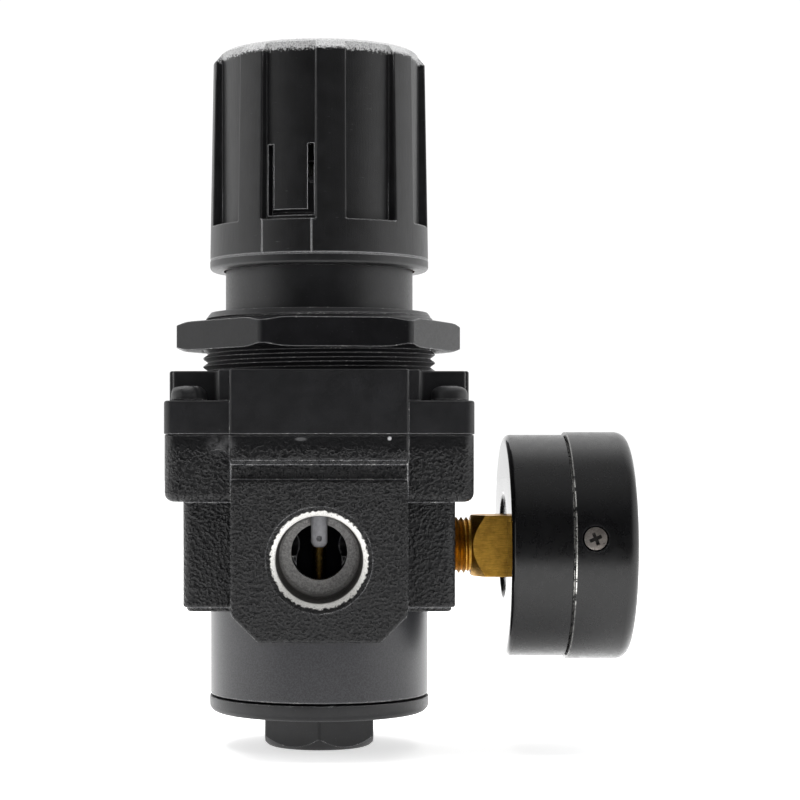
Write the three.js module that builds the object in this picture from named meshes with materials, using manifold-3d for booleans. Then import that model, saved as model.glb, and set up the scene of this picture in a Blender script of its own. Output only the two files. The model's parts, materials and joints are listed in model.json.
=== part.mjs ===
// Air pressure regulator with a back-mounted pressure gauge.
// Millimetres, +Z up. The origin is the centre of the hexagon boss's underside, which the
// regulator stands on. The outlet port faces -Y, the inlet port +Y, and the gauge is on +X.

import * as THREE from 'three';
import { mergeVertices } from 'three/addons/utils/BufferGeometryUtils.js';
import Module from 'manifold-3d';

const wasm = await Module();
wasm.setup();

// ---------------------------------------------------------------- driving dimensions

const GAP = 0.3;            // clearance between neighbouring pieces
const ROUND = 24;           // sides of a large turned piece
const FINE = 12;            // sides of a small turned piece
const COARSE = 8;           // sides of a very small turned piece
const OVER = 1;             // how far a cutting tool runs past the face it cuts

// Levels of the casing along Z.
const BOSS_FLATS = 19.4;
const BOSS_TOP = 6.2;
const CAP_TOP = 9.1;
const BODY_BOTTOM = 9.4;
const BLOCK_BOTTOM = 25.6;
const SHOULDER_BOTTOM = 44.4;
const STRIP_BOTTOM = 51.8;
const BODY_TOP = 55.9;
const BONNET_BOTTOM = 56.2;
const PAD_TOP = 61.65;
const FLANGE_TOP = 67;
const THREAD_TOP = 77.9;
const NECK_STEP = 90.7;
const NECK_TOP = 101;
const KNOB_BOTTOM = 85.4;
const KNOB_TOP = 124.8;

// Body casting.
const CYLINDER_R = 19.6;
const BLOCK_HALF = 23.3;
const SHOULDER_HALF_X = 26.4;
const SHOULDER_HALF_Y = 25.3;
const STRIP_HALF_X = 15.15;
const STRIP_HALF_Y = 26.6;
const PORT_FACE_Y = 26.9;
const PORT_HALF_X = 15;
const PORT_BOTTOM = 20.6;
const PORT_TOP = 48.2;
const PORT_CHAMFER = 4.55;

// Ports: G3/8 thread, cut as its core diameter.
const PORT_Z = 34.6;
const PORT_CHAMFER_R = 9.15;
const PORT_THREAD_R = 7.4;
const PORT_BORE_R = 7.05;
const PORT_THREAD_LENGTH = 12;
const OUTLET_SHOULDER_Y = -7.8;
const INLET_SHOULDER_Y = 8;
const ASPIRATOR_Y = -9.6;

// Valve chamber, throat and diaphragm chamber.
const CHAMBER_R = 15.1;
const CHAMBER_TOP = 24;
const SEAT_HOLE_R = 7.3;
const THROAT_BOTTOM = 29;
const THROAT_TOP = 40.6;
const THROAT_R = 4.1;
const WINDOW_R = 5;
const WINDOW_Z = 35.1;
const SENSING_FLOOR = 46.5;
const SENSING_R = 18.4;
const RIM_FLOOR = 54.7;
const RIM_R = 22.3;

// Valve train.
const STEM_R = 1.3;
const STEM_TOP = 50.2;
const STEM_BOTTOM = 19.3;
const POPPET_BOTTOM = 17.3;
const POPPET_TOP = 22.6;
const SEAL_TOP = 23.9;
const GUIDE_R = 3.2;
const TAIL_R = 1.9;
const CAP_POCKET_FLOOR = 4;
const CAP_POCKET_R = 6.4;
const CAP_SPIGOT_TOP = 13;

// Bonnet, panel thread and nut: M42 x 1.5.
const ARM_HALF = 15.15;
const ARM_REACH_X = 26.1;
const ARM_REACH_Y = 27.2;
const STEP_HALF = 17.2;
const STEP_REACH = 25.4;
const SCREW_X = 22.3;
const SCREW_Y = 22;
const THREAD_R = 20.95;
const NUT_BOTTOM = 71;
const NUT_TOP = 76.1;
const NUT_FLATS = 45.4;
const NUT_CORNER_R = 25.8;
const NUT_TURN = THREE.MathUtils.degToRad(7.5);
const NECK_R = 16.9;
const NECK_UPPER_R = 15.9;
const NECK_BORE_R = 14.4;
const KEYWAY_R = 15.3;
const GROOVE_BOTTOM = 94.6;
const GROOVE_TOP = 100;
const GROOVE_R = 15.15;
const TOP_WALL_BOTTOM = 96.8;

// Adjusting screw and spring seat: M10 x 1.5, left-hand.
const SPINDLE_R = 4.7;
const SPINDLE_BOTTOM = 75.5;
const SPINDLE_TOP = 113;
const COLLAR_TOP = 95.6;
const COLLAR_R = 7.4;
const SEAT_BOTTOM = 88.6;
const SEAT_TOP = 93;
const SEAT_R = 14;

// Knob.
const KNOB_R_BOTTOM = 19.75;
const KNOB_R_TOP = 19.1;
const KNOB_BORE_R = 17.3;
const KNOB_UPPER_BORE_R = 16.3;
const BAND_TOP = 93.3;
const RIB_TOP = 122.8;
const RIB_COUNT = 8;
const RIB_WIDTH_DEG = 16;
const RIB_OFFSET_DEG = 6.1;
const POCKET_R = 17.8;
const TONGUE_WIDTH_DEG = 20;
const TONGUE_BOTTOM = 95;
const TONGUE_TOP = 106.4;
const TONGUE_SLOT = 1;

// Pressure gauge, 40 mm, centre back entry. Lengths run along X from the regulator's axis.
const GAUGE_Z = 36;
const GAUGE_THREAD_R = 5.1;
const GAUGE_THREAD_START = 13;
const SHANK_START = 27.3;
const SHANK_HALF = 5.5;
const CASE_BACK = 33.3;
const CASE_R = 19.95;
const CASE_WALL = 0.7;
const BEZEL_BACK = 44.2;
const BEZEL_FRONT = 55.3;
const BEZEL_R = 20.45;
const LIP_R = 17.8;
const SECTOR_R = 9;
const PINION_R = 1;
const SECTOR_PIVOT_DROP = SECTOR_R + PINION_R;
const PINION_TEETH = 8;
const SECTOR_PITCH_DEG = 5;
const SECTOR_SWING_DEG = 15;
const TAIL_LENGTH = 4;

// ---------------------------------------------------------------- materials

const finish = (color, roughness, metalness) =>
  new THREE.MeshStandardMaterial({ color, roughness, metalness });

const CAST_PAINT = finish(0x17171a, 0.55, 0.1);
const SATIN_PAINT = finish(0x1c1c1f, 0.42, 0.1);
const BLACK_PLASTIC = finish(0x1a1a1c, 0.4, 0);
const BLACK_STEEL = finish(0x202022, 0.35, 0.6);
const STEEL = finish(0xa8a8a6, 0.3, 1);
const BRASS = finish(0xb08a3c, 0.3, 1);
const RUBBER = finish(0x101010, 0.8, 0);
const GREY_PLASTIC = finish(0x9a9ca0, 0.5, 0);
const ORANGE_PLASTIC = finish(0xe0671c, 0.5, 0);
const DIAL_WHITE = finish(0xf2f1ec, 0.6, 0);
const CLEAR = finish(0xdfe8ea, 0.05, 0);

// ---------------------------------------------------------------- solids

// A closed solid from a three.js geometry, turned right side out.
function solid(geometry) {
  const bare = geometry.index ? geometry.toNonIndexed() : geometry.clone();
  bare.deleteAttribute('normal');
  bare.deleteAttribute('uv');
  const merged = mergeVertices(bare, 1e-4);
  const vertProperties = new Float32Array(merged.attributes.position.array);
  const triVerts = new Uint32Array(merged.index.array);
  const made = new wasm.Manifold(new wasm.Mesh({ numProp: 3, vertProperties, triVerts }));
  if (made.volume() > 0) return made;
  for (let i = 0; i < triVerts.length; i += 3) {
    [triVerts[i], triVerts[i + 1]] = [triVerts[i + 1], triVerts[i]];
  }
  return new wasm.Manifold(new wasm.Mesh({ numProp: 3, vertProperties, triVerts }));
}

const join = (...parts) => parts.reduce((whole, part) => whole.add(part));
const cut = (blank, ...tools) => tools.reduce((left, tool) => left.subtract(tool), blank);

// A piece turned about Z from [radius, height] points that start and end on the axis.
function turned(points, sides = ROUND) {
  const profile = points.map(([r, z]) => new THREE.Vector2(r, z));
  return solid(new THREE.LatheGeometry(profile, sides).rotateX(Math.PI / 2));
}

const rod = (r, bottom, top, sides = ROUND) =>
  turned([[0, bottom], [r, bottom], [r, top], [0, top]], sides);

const cone = (rBottom, rTop, bottom, top, sides = ROUND) =>
  turned([[0, bottom], [rBottom, bottom], [rTop, top], [0, top]], sides);

// A ring of rectangular section, turned from a profile that closes on itself.
const ring = (rIn, rOut, bottom, top, sides = ROUND) =>
  turned([[rIn, bottom], [rOut, bottom], [rOut, top], [rIn, top], [rIn, bottom]], sides);

// A ring of round section, such as an O-ring.
function roundRing(radius, section, height, sides = ROUND) {
  return solid(new THREE.TorusGeometry(radius, section, 6, sides).translate(0, 0, height));
}

function box(x0, x1, y0, y1, z0, z1) {
  const geometry = new THREE.BoxGeometry(x1 - x0, y1 - y0, z1 - z0);
  return solid(geometry.translate((x0 + x1) / 2, (y0 + y1) / 2, (z0 + z1) / 2));
}

// A straight extrusion of a THREE.Shape along Z, with rounded ends when bevel is given.
function extruded(shape, bottom, top, bevel = 0, curveSegments = 3) {
  const geometry = new THREE.ExtrudeGeometry(shape, {
    depth: top - bottom - 2 * bevel,
    curveSegments,
    bevelEnabled: bevel > 0,
    bevelThickness: bevel,
    bevelSize: bevel,
    bevelOffset: -bevel,
    bevelSegments: 1,
  });
  return solid(geometry.translate(0, 0, bottom + bevel));
}

function roundedRectangle(halfX, halfY, radius) {
  const shape = new THREE.Shape();
  shape.absarc(halfX - radius, halfY - radius, radius, 0, Math.PI / 2);
  shape.absarc(radius - halfX, halfY - radius, radius, Math.PI / 2, Math.PI);
  shape.absarc(radius - halfX, radius - halfY, radius, Math.PI, 1.5 * Math.PI);
  shape.absarc(halfX - radius, radius - halfY, radius, 1.5 * Math.PI, 2 * Math.PI);
  shape.closePath();
  return shape;
}

function polygon(points) {
  return new THREE.Shape(points.map(([x, y]) => new THREE.Vector2(x, y)));
}

// A hexagon prism with its corners towards +Y and -Y before turning.
function hexagon(flats, bottom, top, turn = 0) {
  const geometry = new THREE.CylinderGeometry(flats / Math.sqrt(3), flats / Math.sqrt(3), top - bottom, 6);
  geometry.rotateX(Math.PI / 2).rotateZ(turn).translate(0, 0, (bottom + top) / 2);
  return solid(geometry);
}

// The same solid with its +Z axis laid along another direction, through a given point.
function laid(part, direction, [x, y, z]) {
  const turn = new THREE.Quaternion().setFromUnitVectors(
    new THREE.Vector3(0, 0, 1), new THREE.Vector3(...direction).normalize());
  const place = new THREE.Matrix4().compose(new THREE.Vector3(x, y, z), turn, new THREE.Vector3(1, 1, 1));
  return part.transform(place.elements);
}

// Wire of round section wound on a helix about Z.
function coilSpring(radius, wire, bottom, top, turns, stepsPerTurn, sides) {
  class Helix extends THREE.Curve {
    getPoint(t, target = new THREE.Vector3()) {
      const angle = 2 * Math.PI * turns * t;
      return target.set(radius * Math.cos(angle), radius * Math.sin(angle), bottom + (top - bottom) * t);
    }
  }
  const section = new THREE.Shape();
  section.absarc(0, 0, wire, 0, 2 * Math.PI);
  return solid(new THREE.ExtrudeGeometry(section, {
    steps: turns * stepsPerTurn,
    curveSegments: sides,
    bevelEnabled: false,
    extrudePath: new Helix(),
  }));
}

function geometryOf(part) {
  const { vertProperties, triVerts } = part.getMesh();
  const geometry = new THREE.BufferGeometry();
  geometry.setAttribute('position', new THREE.BufferAttribute(new Float32Array(vertProperties), 3));
  geometry.setIndex(new THREE.BufferAttribute(new Uint32Array(triVerts), 1));
  geometry.computeVertexNormals();
  return geometry;
}

function piece(name, part, material) {
  const mesh = new THREE.Mesh(geometryOf(part), material);
  mesh.name = name;
  return mesh;
}

// ---------------------------------------------------------------- body casting

function portBlock() {
  const low = PORT_BOTTOM - PORT_Z;
  const high = PORT_TOP - PORT_Z;
  const outline = polygon([
    [-PORT_HALF_X + PORT_CHAMFER, low], [PORT_HALF_X - PORT_CHAMFER, low],
    [PORT_HALF_X, low + PORT_CHAMFER], [PORT_HALF_X, high],
    [-PORT_HALF_X, high], [-PORT_HALF_X, low + PORT_CHAMFER],
  ]);
  const block = new THREE.ExtrudeGeometry(outline, { depth: 2 * PORT_FACE_Y, bevelEnabled: false });
  return solid(block.rotateX(Math.PI / 2).translate(0, PORT_FACE_Y, PORT_Z));
}

// Everything that a port's drill, tap and countersink take out, from the face inwards.
function portBore(side, shoulder) {
  const depth = PORT_FACE_Y - Math.abs(shoulder);
  const bore = turned([
    [0, -OVER], [PORT_CHAMFER_R, -OVER], [PORT_CHAMFER_R, 0], [PORT_CHAMFER_R - 0.8, 0.5],
    [PORT_THREAD_R, 1], [PORT_THREAD_R, PORT_THREAD_LENGTH], [PORT_BORE_R, PORT_THREAD_LENGTH + 0.5],
    [PORT_BORE_R, depth], [0, depth],
  ]);
  return laid(bore, [0, -side, 0], [0, side * PORT_FACE_Y, PORT_Z]);
}

function body() {
  const blank = join(
    extruded(roundedRectangle(SHOULDER_HALF_X, SHOULDER_HALF_Y, 3), SHOULDER_BOTTOM, BODY_TOP + 2, 0.9),
    box(-STRIP_HALF_X, STRIP_HALF_X, -STRIP_HALF_Y, STRIP_HALF_Y, STRIP_BOTTOM, BODY_TOP + 2),
    extruded(roundedRectangle(BLOCK_HALF, BLOCK_HALF, 3), BLOCK_BOTTOM, SHOULDER_BOTTOM + 2, 0.8),
    rod(CYLINDER_R, BODY_BOTTOM, BLOCK_BOTTOM + 1),
    portBlock(),
  );
  const gaugePort = (side) => join(
    laid(rod(GAUGE_THREAD_R + GAP, 0, BLOCK_HALF - 12 + OVER, FINE), [side, 0, 0], [12 * side, 0, GAUGE_Z]),
    laid(rod(2, 0, 9.5, COARSE), [side, 0, 0], [3 * side, 0, GAUGE_Z]),
  );
  return cut(
    blank,
    box(-30, 30, -30, 30, BODY_TOP, BODY_TOP + 4),
    rod(CHAMBER_R, BODY_BOTTOM - OVER, CHAMBER_TOP),
    rod(SEAT_HOLE_R, CHAMBER_TOP - OVER, THROAT_BOTTOM, FINE),
    rod(THROAT_R, THROAT_BOTTOM - OVER, THROAT_TOP, FINE),
    rod(STEM_R + GAP, THROAT_TOP - OVER, SENSING_FLOOR + OVER, COARSE),
    rod(SENSING_R, SENSING_FLOOR, BODY_TOP + OVER),
    rod(RIM_R, RIM_FLOOR, BODY_TOP + OVER),
    portBore(-1, OUTLET_SHOULDER_Y),
    portBore(1, INLET_SHOULDER_Y),
    laid(rod(WINDOW_R, 0, Math.abs(OUTLET_SHOULDER_Y) + OVER, FINE), [0, -1, 0], [0, 0, WINDOW_Z]),
    rod(3.3, CHAMBER_TOP - OVER, PORT_Z, FINE).translate(0, 11.6, 0),
    rod(1.75, PORT_Z + 4, SENSING_FLOOR + OVER, COARSE).translate(0, ASPIRATOR_Y, 0),
    gaugePort(1),
    gaugePort(-1),
    ...screwPlaces().map(([x, y]) => rod(2.2, RIM_FLOOR - 9, BODY_TOP + OVER, COARSE).translate(x, y, 0)),
  );
}

// ---------------------------------------------------------------- bottom cap and valve

function bottomCap() {
  const boss = hexagon(BOSS_FLATS, 0, BOSS_TOP + 0.5).intersect(
    turned([[0, -OVER], [8.6, -OVER], [11.5, 1.3], [11.5, BOSS_TOP + OVER], [0, BOSS_TOP + OVER]], 26));
  const plug = turned([
    [0, BOSS_TOP], [19.2, BOSS_TOP], [19.8, BOSS_TOP + 0.7], [19.8, CAP_TOP], [14.8, CAP_TOP],
    [14.8, 10.3], [13.05, 10.3], [13.05, 12.2], [14.8, 12.2], [14.8, CAP_SPIGOT_TOP], [0, CAP_SPIGOT_TOP],
  ]);
  const pocket = cut(
    rod(CAP_POCKET_R, CAP_POCKET_FLOOR, CAP_SPIGOT_TOP + OVER, FINE),
    rod(GUIDE_R, CAP_POCKET_FLOOR - OVER, CAP_SPIGOT_TOP - 1.2, FINE),
  );
  return cut(join(boss, plug), pocket, rod(TAIL_R + GAP, CAP_POCKET_FLOOR - 0.5, CAP_SPIGOT_TOP, COARSE));
}

const valveSeat = () => turned([
  [4, CHAMBER_TOP + 0.2], [5, CHAMBER_TOP + 0.2], [5.4, CHAMBER_TOP + 0.8], [7, CHAMBER_TOP + 0.8],
  [7, 26], [5.7, 26], [5.7, 27.6], [7, 27.6], [7, THROAT_BOTTOM - GAP], [4, THROAT_BOTTOM - GAP],
  [4, CHAMBER_TOP + 0.2],
], FINE);

function valvePoppet() {
  const turnedBlank = turned([
    [0, 5.6], [TAIL_R, 5.6], [TAIL_R, POPPET_BOTTOM], [5.8, POPPET_BOTTOM], [5.8, POPPET_TOP], [0, POPPET_TOP],
  ], FINE);
  return cut(turnedBlank, rod(STEM_R + GAP, STEM_BOTTOM - GAP, POPPET_TOP + OVER, COARSE));
}

const poppetSeal = () => ring(STEM_R + 0.6, 6, POPPET_TOP + GAP, SEAL_TOP, FINE);

const valveStem = () => turned([
  [0, STEM_BOTTOM], [STEM_R, STEM_BOTTOM], [STEM_R, STEM_TOP - 0.9], [0.5, STEM_TOP], [0, STEM_TOP],
], COARSE);

// The pick-up tube that carries outlet pressure up to the diaphragm.
function aspiratorTube() {
  const outside = turned([
    [0, 36], [0.8, 36], [1.45, 36.7], [1.45, SENSING_FLOOR + 0.6], [0, SENSING_FLOOR + 0.6],
  ], COARSE);
  const mouth = laid(rod(0.45, 0, 3, 6), [0, -1, 0], [0, 0, 37.6]);
  return cut(outside, rod(0.75, 36.9, SENSING_FLOOR + OVER, 8), mouth).translate(0, ASPIRATOR_Y, 0);
}

// ---------------------------------------------------------------- diaphragm stack

// A rubber disc with a beaded rim and one raised convolution.
function diaphragm() {
  const low = RIM_FLOOR + GAP;
  const convolution = [];
  const back = [];
  const middle = 16.2;
  const radius = 1.5;
  for (let step = 0; step <= 4; step += 1) {
    const angle = Math.PI * (1 - step / 4);
    convolution.push([middle + radius * Math.cos(angle), low + radius * Math.sin(angle)]);
    back.unshift([middle + (radius + 0.7) * Math.cos(angle), low + 0.8 + radius * Math.sin(angle)]);
  }
  return turned([
    [3.1, low], ...convolution, [22, low], [22, low + 0.8], ...back, [3.1, low + 0.8], [3.1, low],
  ]);
}

const lowerDiaphragmPlate = () => ring(2.9, 13.5, 53.2, RIM_FLOOR, FINE);

const springPlate = () => turned([
  [2.9, 56.1], [13.4, 56.1], [13.4, 57.4], [9.2, 57.4], [8.6, 58.2], [5.4, 58.2], [5.4, 57.4], [2.9, 57.4],
  [2.9, 56.1],
], FINE);

function reliefSeat() {
  const stud = turned([[0, 50.5], [4.6, 50.5], [4.6, 52.9], [2.6, 52.9], [2.6, 61], [0, 61]], FINE);
  return cut(stud, rod(0.9, 50.5 - OVER, 61 + OVER, COARSE));
}

const diaphragmNut = () => cut(hexagon(8, 57.7, 60.3), rod(2.9, 57, 61, COARSE));

// ---------------------------------------------------------------- bonnet

function screwPlaces() {
  return [[-SCREW_X, -SCREW_Y], [SCREW_X, -SCREW_Y], [SCREW_X, SCREW_Y], [-SCREW_X, SCREW_Y]];
}

// The raised cross of the flange: each arm has a proud middle and a lower step beside it.
function crossOutline() {
  const quarter = [
    [ARM_REACH_X, ARM_HALF], [STEP_REACH, ARM_HALF], [STEP_REACH, STEP_HALF],
    [STEP_HALF, STEP_HALF],
    [STEP_HALF, STEP_REACH], [ARM_HALF, STEP_REACH], [ARM_HALF, ARM_REACH_Y],
  ];
  const mirror = (points, sx, sy) => points.map(([x, y]) => [sx * x, sy * y]);
  return polygon([
    ...quarter,
    ...mirror(quarter, -1, 1).reverse(),
    ...mirror(quarter, -1, -1),
    ...mirror(quarter, 1, -1).reverse(),
  ]);
}

function bonnet() {
  const cross = extruded(crossOutline(), BONNET_BOTTOM + 1, FLANGE_TOP);
  const flange = extruded(roundedRectangle(26.4, 26.4, 4), BONNET_BOTTOM, PAD_TOP);
  const drum = turned([
    [0, PAD_TOP - 1], [THREAD_R, PAD_TOP - 1],
    [THREAD_R, 76.6], [19.7, 77.2], [19.5, THREAD_TOP], [NECK_R, THREAD_TOP],
    [NECK_R, KNOB_BOTTOM + 0.2], [16.15, KNOB_BOTTOM + 0.2], [16.15, 88.6], [NECK_R, 88.6],
    [NECK_R, NECK_STEP], [NECK_UPPER_R, NECK_STEP], [NECK_UPPER_R, GROOVE_BOTTOM], [GROOVE_R, GROOVE_BOTTOM],
    [GROOVE_R, GROOVE_TOP], [NECK_UPPER_R, GROOVE_TOP], [NECK_UPPER_R, NECK_TOP], [0, NECK_TOP],
  ]);
  const inside = turned([
    [0, BONNET_BOTTOM - OVER], [SENSING_R, BONNET_BOTTOM - OVER], [SENSING_R, 69], [NECK_BORE_R, 73],
    [NECK_BORE_R, TOP_WALL_BOTTOM], [0, TOP_WALL_BOTTOM],
  ]);
  const keyway = box(-KEYWAY_R, KEYWAY_R, -2.4, 2.4, 72, GROOVE_BOTTOM - 0.4);
  const keyRound = rod(KEYWAY_R, 72, GROOVE_BOTTOM - 0.4);
  return cut(
    join(flange, cross, drum),
    inside,
    keyway.intersect(keyRound),
    rod(SPINDLE_R + GAP, TOP_WALL_BOTTOM - OVER, NECK_TOP + OVER, FINE),
    ...screwPlaces().map(([x, y]) => rod(2.3, BONNET_BOTTOM - OVER, PAD_TOP + OVER, COARSE).translate(x, y, 0)),
  );
}

// A pan-head screw with a cross recess, its head resting on z = 0 and its shank below.
function crossScrew(headR, headHeight, shankR, shankLength) {
  const screw = turned([
    [0, -shankLength], [shankR, -shankLength], [shankR, 0], [headR, 0], [headR, headHeight * 0.5],
    [headR * 0.8, headHeight * 0.85], [headR * 0.4, headHeight], [0, headHeight],
  ], FINE);
  const arm = headR * 0.55;
  const slot = headR * 0.14;
  return cut(
    screw,
    box(-arm, arm, -slot, slot, headHeight * 0.45, headHeight + OVER),
    box(-slot, slot, -arm, arm, headHeight * 0.45, headHeight + OVER),
  );
}

function panelNut() {
  const blank = hexagon(NUT_FLATS, NUT_BOTTOM, NUT_TOP, Math.PI / 6 + NUT_TURN).intersect(turned([
    [0, NUT_BOTTOM], [NUT_CORNER_R - 0.5, NUT_BOTTOM], [NUT_CORNER_R, NUT_BOTTOM + 0.4],
    [NUT_CORNER_R, NUT_TOP - 0.4], [NUT_CORNER_R - 0.5, NUT_TOP], [0, NUT_TOP],
  ], 48));
  return cut(blank, rod(THREAD_R + GAP, NUT_BOTTOM - OVER, NUT_TOP + OVER));
}

const indicatorRing = () => ring(16.45, 17.05, KNOB_BOTTOM + 0.5, 88.3);

// ---------------------------------------------------------------- adjusting screw and knob

function adjustingScrew() {
  const spindle = turned([
    [0, SPINDLE_BOTTOM], [SPINDLE_R - 0.8, SPINDLE_BOTTOM], [SPINDLE_R, SPINDLE_BOTTOM + 0.8],
    [SPINDLE_R, SEAT_TOP + 0.4], [COLLAR_R, SEAT_TOP + 0.4], [COLLAR_R, COLLAR_TOP], [SPINDLE_R, COLLAR_TOP],
    [SPINDLE_R, 101.4], [3.9, 101.4], [3.9, 102.8], [SPINDLE_R, 102.8], [SPINDLE_R, 104], [0, 104],
  ], FINE);
  return join(spindle, hexagon(8.6, 103.5, SPINDLE_TOP));
}

const thrustWasher = () => ring(SPINDLE_R + GAP, 8.5, COLLAR_TOP + 0.2, TOP_WALL_BOTTOM - 0.2, FINE);

// An open retaining ring in the groove above the bonnet's top wall.
const screwClip = () => cut(ring(4.2, 6.6, 101.6, 102.6, FINE), box(0, 8, -2.2, 2.2, 101, 103));

function springSeat() {
  const disc = turned([
    [SPINDLE_R + GAP, SEAT_BOTTOM - 3.4], [8.6, SEAT_BOTTOM - 3.4], [8.6, SEAT_BOTTOM], [SEAT_R, SEAT_BOTTOM],
    [SEAT_R, SEAT_TOP], [SPINDLE_R + GAP, SEAT_TOP], [SPINDLE_R + GAP, SEAT_BOTTOM - 3.4],
  ]);
  const key = box(SEAT_R - 1, 14.9, -2, 2, SEAT_BOTTOM + 0.2, SEAT_TOP - 0.2);
  return join(disc, key, key.rotate([0, 0, 180]));
}

// A wedge about Z between two angles, measured from -Y towards +X.
function wedge(middleDeg, widthDeg, rIn, rOut, bottom, top) {
  const steps = 4;
  const at = (deg, r) => {
    const a = THREE.MathUtils.degToRad(deg);
    return [r * Math.sin(a), -r * Math.cos(a)];
  };
  const points = [];
  for (let i = 0; i <= steps; i += 1) points.push(at(middleDeg + widthDeg * (i / steps - 0.5), rOut));
  for (let i = steps; i >= 0; i -= 1) points.push(at(middleDeg + widthDeg * (i / steps - 0.5), rIn));
  return extruded(polygon(points), bottom, top);
}

function knob() {
  const tipR = (z) => KNOB_R_BOTTOM + (KNOB_R_TOP - KNOB_R_BOTTOM) * (z - KNOB_BOTTOM) / (RIB_TOP - KNOB_BOTTOM);
  const shell = turned([
    [0, KNOB_BOTTOM], [KNOB_R_BOTTOM - 0.7, KNOB_BOTTOM], [KNOB_R_BOTTOM, KNOB_BOTTOM + 0.7],
    [tipR(BAND_TOP), BAND_TOP], [tipR(RIB_TOP), RIB_TOP], [KNOB_R_TOP - 1.9, KNOB_TOP], [0, KNOB_TOP],
  ]);
  const pitch = 360 / RIB_COUNT;
  const pockets = [];
  for (let k = 0; k < RIB_COUNT; k += 1) {
    const middle = RIB_OFFSET_DEG + pitch * (k + 0.5);
    pockets.push(wedge(middle, pitch - RIB_WIDTH_DEG, POCKET_R, 22, BAND_TOP, KNOB_TOP + OVER));
  }
  const inside = cut(
    turned([
      [0, KNOB_BOTTOM - OVER], [KNOB_BORE_R, KNOB_BOTTOM - OVER], [KNOB_BORE_R, NECK_STEP + GAP],
      [KNOB_UPPER_BORE_R, NECK_STEP + GAP], [KNOB_UPPER_BORE_R, 121.4], [0, 121.4],
    ]),
    rod(8.6, 104.4, 122, FINE),
  );
  const socket = hexagon(9.2, 104, 118);
  const barb = (middle) =>
    wedge(middle, TONGUE_WIDTH_DEG - 4, 15.45, KNOB_UPPER_BORE_R + 0.6, TONGUE_BOTTOM + 0.1, 96.4);
  const slots = (middle) => {
    const slotDeg = THREE.MathUtils.radToDeg(TONGUE_SLOT / KNOB_UPPER_BORE_R);
    const side = (TONGUE_WIDTH_DEG + slotDeg) / 2;
    const rIn = KNOB_UPPER_BORE_R - 1;
    return [
      wedge(middle - side, slotDeg, rIn, 22, BAND_TOP + 0.7, TONGUE_TOP),
      wedge(middle + side, slotDeg, rIn, 22, BAND_TOP + 0.7, TONGUE_TOP),
      wedge(middle, TONGUE_WIDTH_DEG + slotDeg, rIn, 22, BAND_TOP + 0.7, TONGUE_BOTTOM),
    ];
  };
  const tongue = RIB_OFFSET_DEG - pitch / 2;
  const hollow = cut(shell, inside, socket, ...pockets);
  return join(cut(hollow, ...slots(tongue), ...slots(tongue + 180)), barb(tongue), barb(tongue + 180));
}

// ---------------------------------------------------------------- side port plug

function gaugePlug() {
  const plug = cone(GAUGE_THREAD_R - 0.3, GAUGE_THREAD_R, 0, 7, FINE);
  return laid(cut(plug, hexagon(5, 3.5, 7 + OVER)), [-1, 0, 0], [-15.9, 0, GAUGE_Z]);
}

// ---------------------------------------------------------------- pressure gauge
// Built about Z and turned as a group: its +Z becomes +X, and its -X becomes +Z.

// A point on the dial by its clock angle, seen from the front.
function clock(radius, degrees) {
  const a = THREE.MathUtils.degToRad(degrees);
  return [-radius * Math.cos(a), radius * Math.sin(a)];
}

function gaugeSocket() {
  const stem = turned([
    [0, GAUGE_THREAD_START], [GAUGE_THREAD_R - 0.7, GAUGE_THREAD_START], [GAUGE_THREAD_R, SHANK_START - 0.5],
    [4.6, SHANK_START - 0.4], [4.6, SHANK_START + 0.2], [0, SHANK_START + 0.2],
  ], FINE);
  const square = box(-SHANK_HALF, SHANK_HALF, -SHANK_HALF, SHANK_HALF, SHANK_START, CASE_BACK + 0.4);
  const chamfer = cone(4.9, 4.9 + 8, SHANK_START, SHANK_START + 8, ROUND);
  const neck = rod(4.7, CASE_BACK, 35.4, FINE);
  const block = box(-4.5, 17, -3.4, 3.4, 35, 40.7);
  const bore = rod(1.4, GAUGE_THREAD_START - OVER, 38, COARSE);
  const feed = laid(rod(0.9, 0, 20, 8), [1, 0, 0], [0, 0, 38]);
  return cut(join(stem, square.intersect(chamfer), neck, block), bore, feed);
}

function gaugeCase() {
  const inner = CASE_R - CASE_WALL;
  const tuck = BEZEL_R - 1.4;
  return cut(
    turned([
      [5, CASE_BACK + 0.6], [9, CASE_BACK + 0.6], [9.4, CASE_BACK], [18.9, CASE_BACK], [19.65, CASE_BACK + 0.35],
      [CASE_R, CASE_BACK + 1.1], [CASE_R, BEZEL_BACK - GAP], [tuck, BEZEL_BACK - GAP], [tuck, 51.2],
      [tuck - 0.7, 51.2], [tuck - 0.7, BEZEL_BACK - 1], [inner, BEZEL_BACK - 1.2], [inner, CASE_BACK + 1.6],
      [18.7, CASE_BACK + 0.9], [9.6, CASE_BACK + 0.9], [9.2, CASE_BACK + 1.5],
      [5, CASE_BACK + 1.5], [5, CASE_BACK + 0.6],
    ]),
    ...bezelScrewAngles().map((angle) => screwHole(angle)),
  );
}

const BEZEL_SCREW_X = 47.6;

// The seen screw is just above the axis on the outlet side; the others are a third of a turn round.
function bezelScrewAngles() {
  return [0, 1, 2].map((k) => -84.4 + 120 * k);
}

function screwHole(angle) {
  const [x, y] = clock(1, angle);
  return laid(cone(0.9 + GAP, 2.6, 15, BEZEL_R + 0.3, FINE), [x, y, 0], [0, 0, BEZEL_SCREW_X]);
}

function bezelScrew(angle) {
  const [x, y] = clock(1, angle);
  const screw = cut(
    turned([[0, 18.4], [0.7, 18.4], [0.7, 19.3], [1.9, 20.35], [0, 20.35]], COARSE),
    box(-1, 1, -0.25, 0.25, 19.9, 21),
    box(-0.25, 0.25, -1, 1, 19.9, 21),
  );
  return laid(screw, [x, y, 0], [0, 0, BEZEL_SCREW_X]);
}

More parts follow.
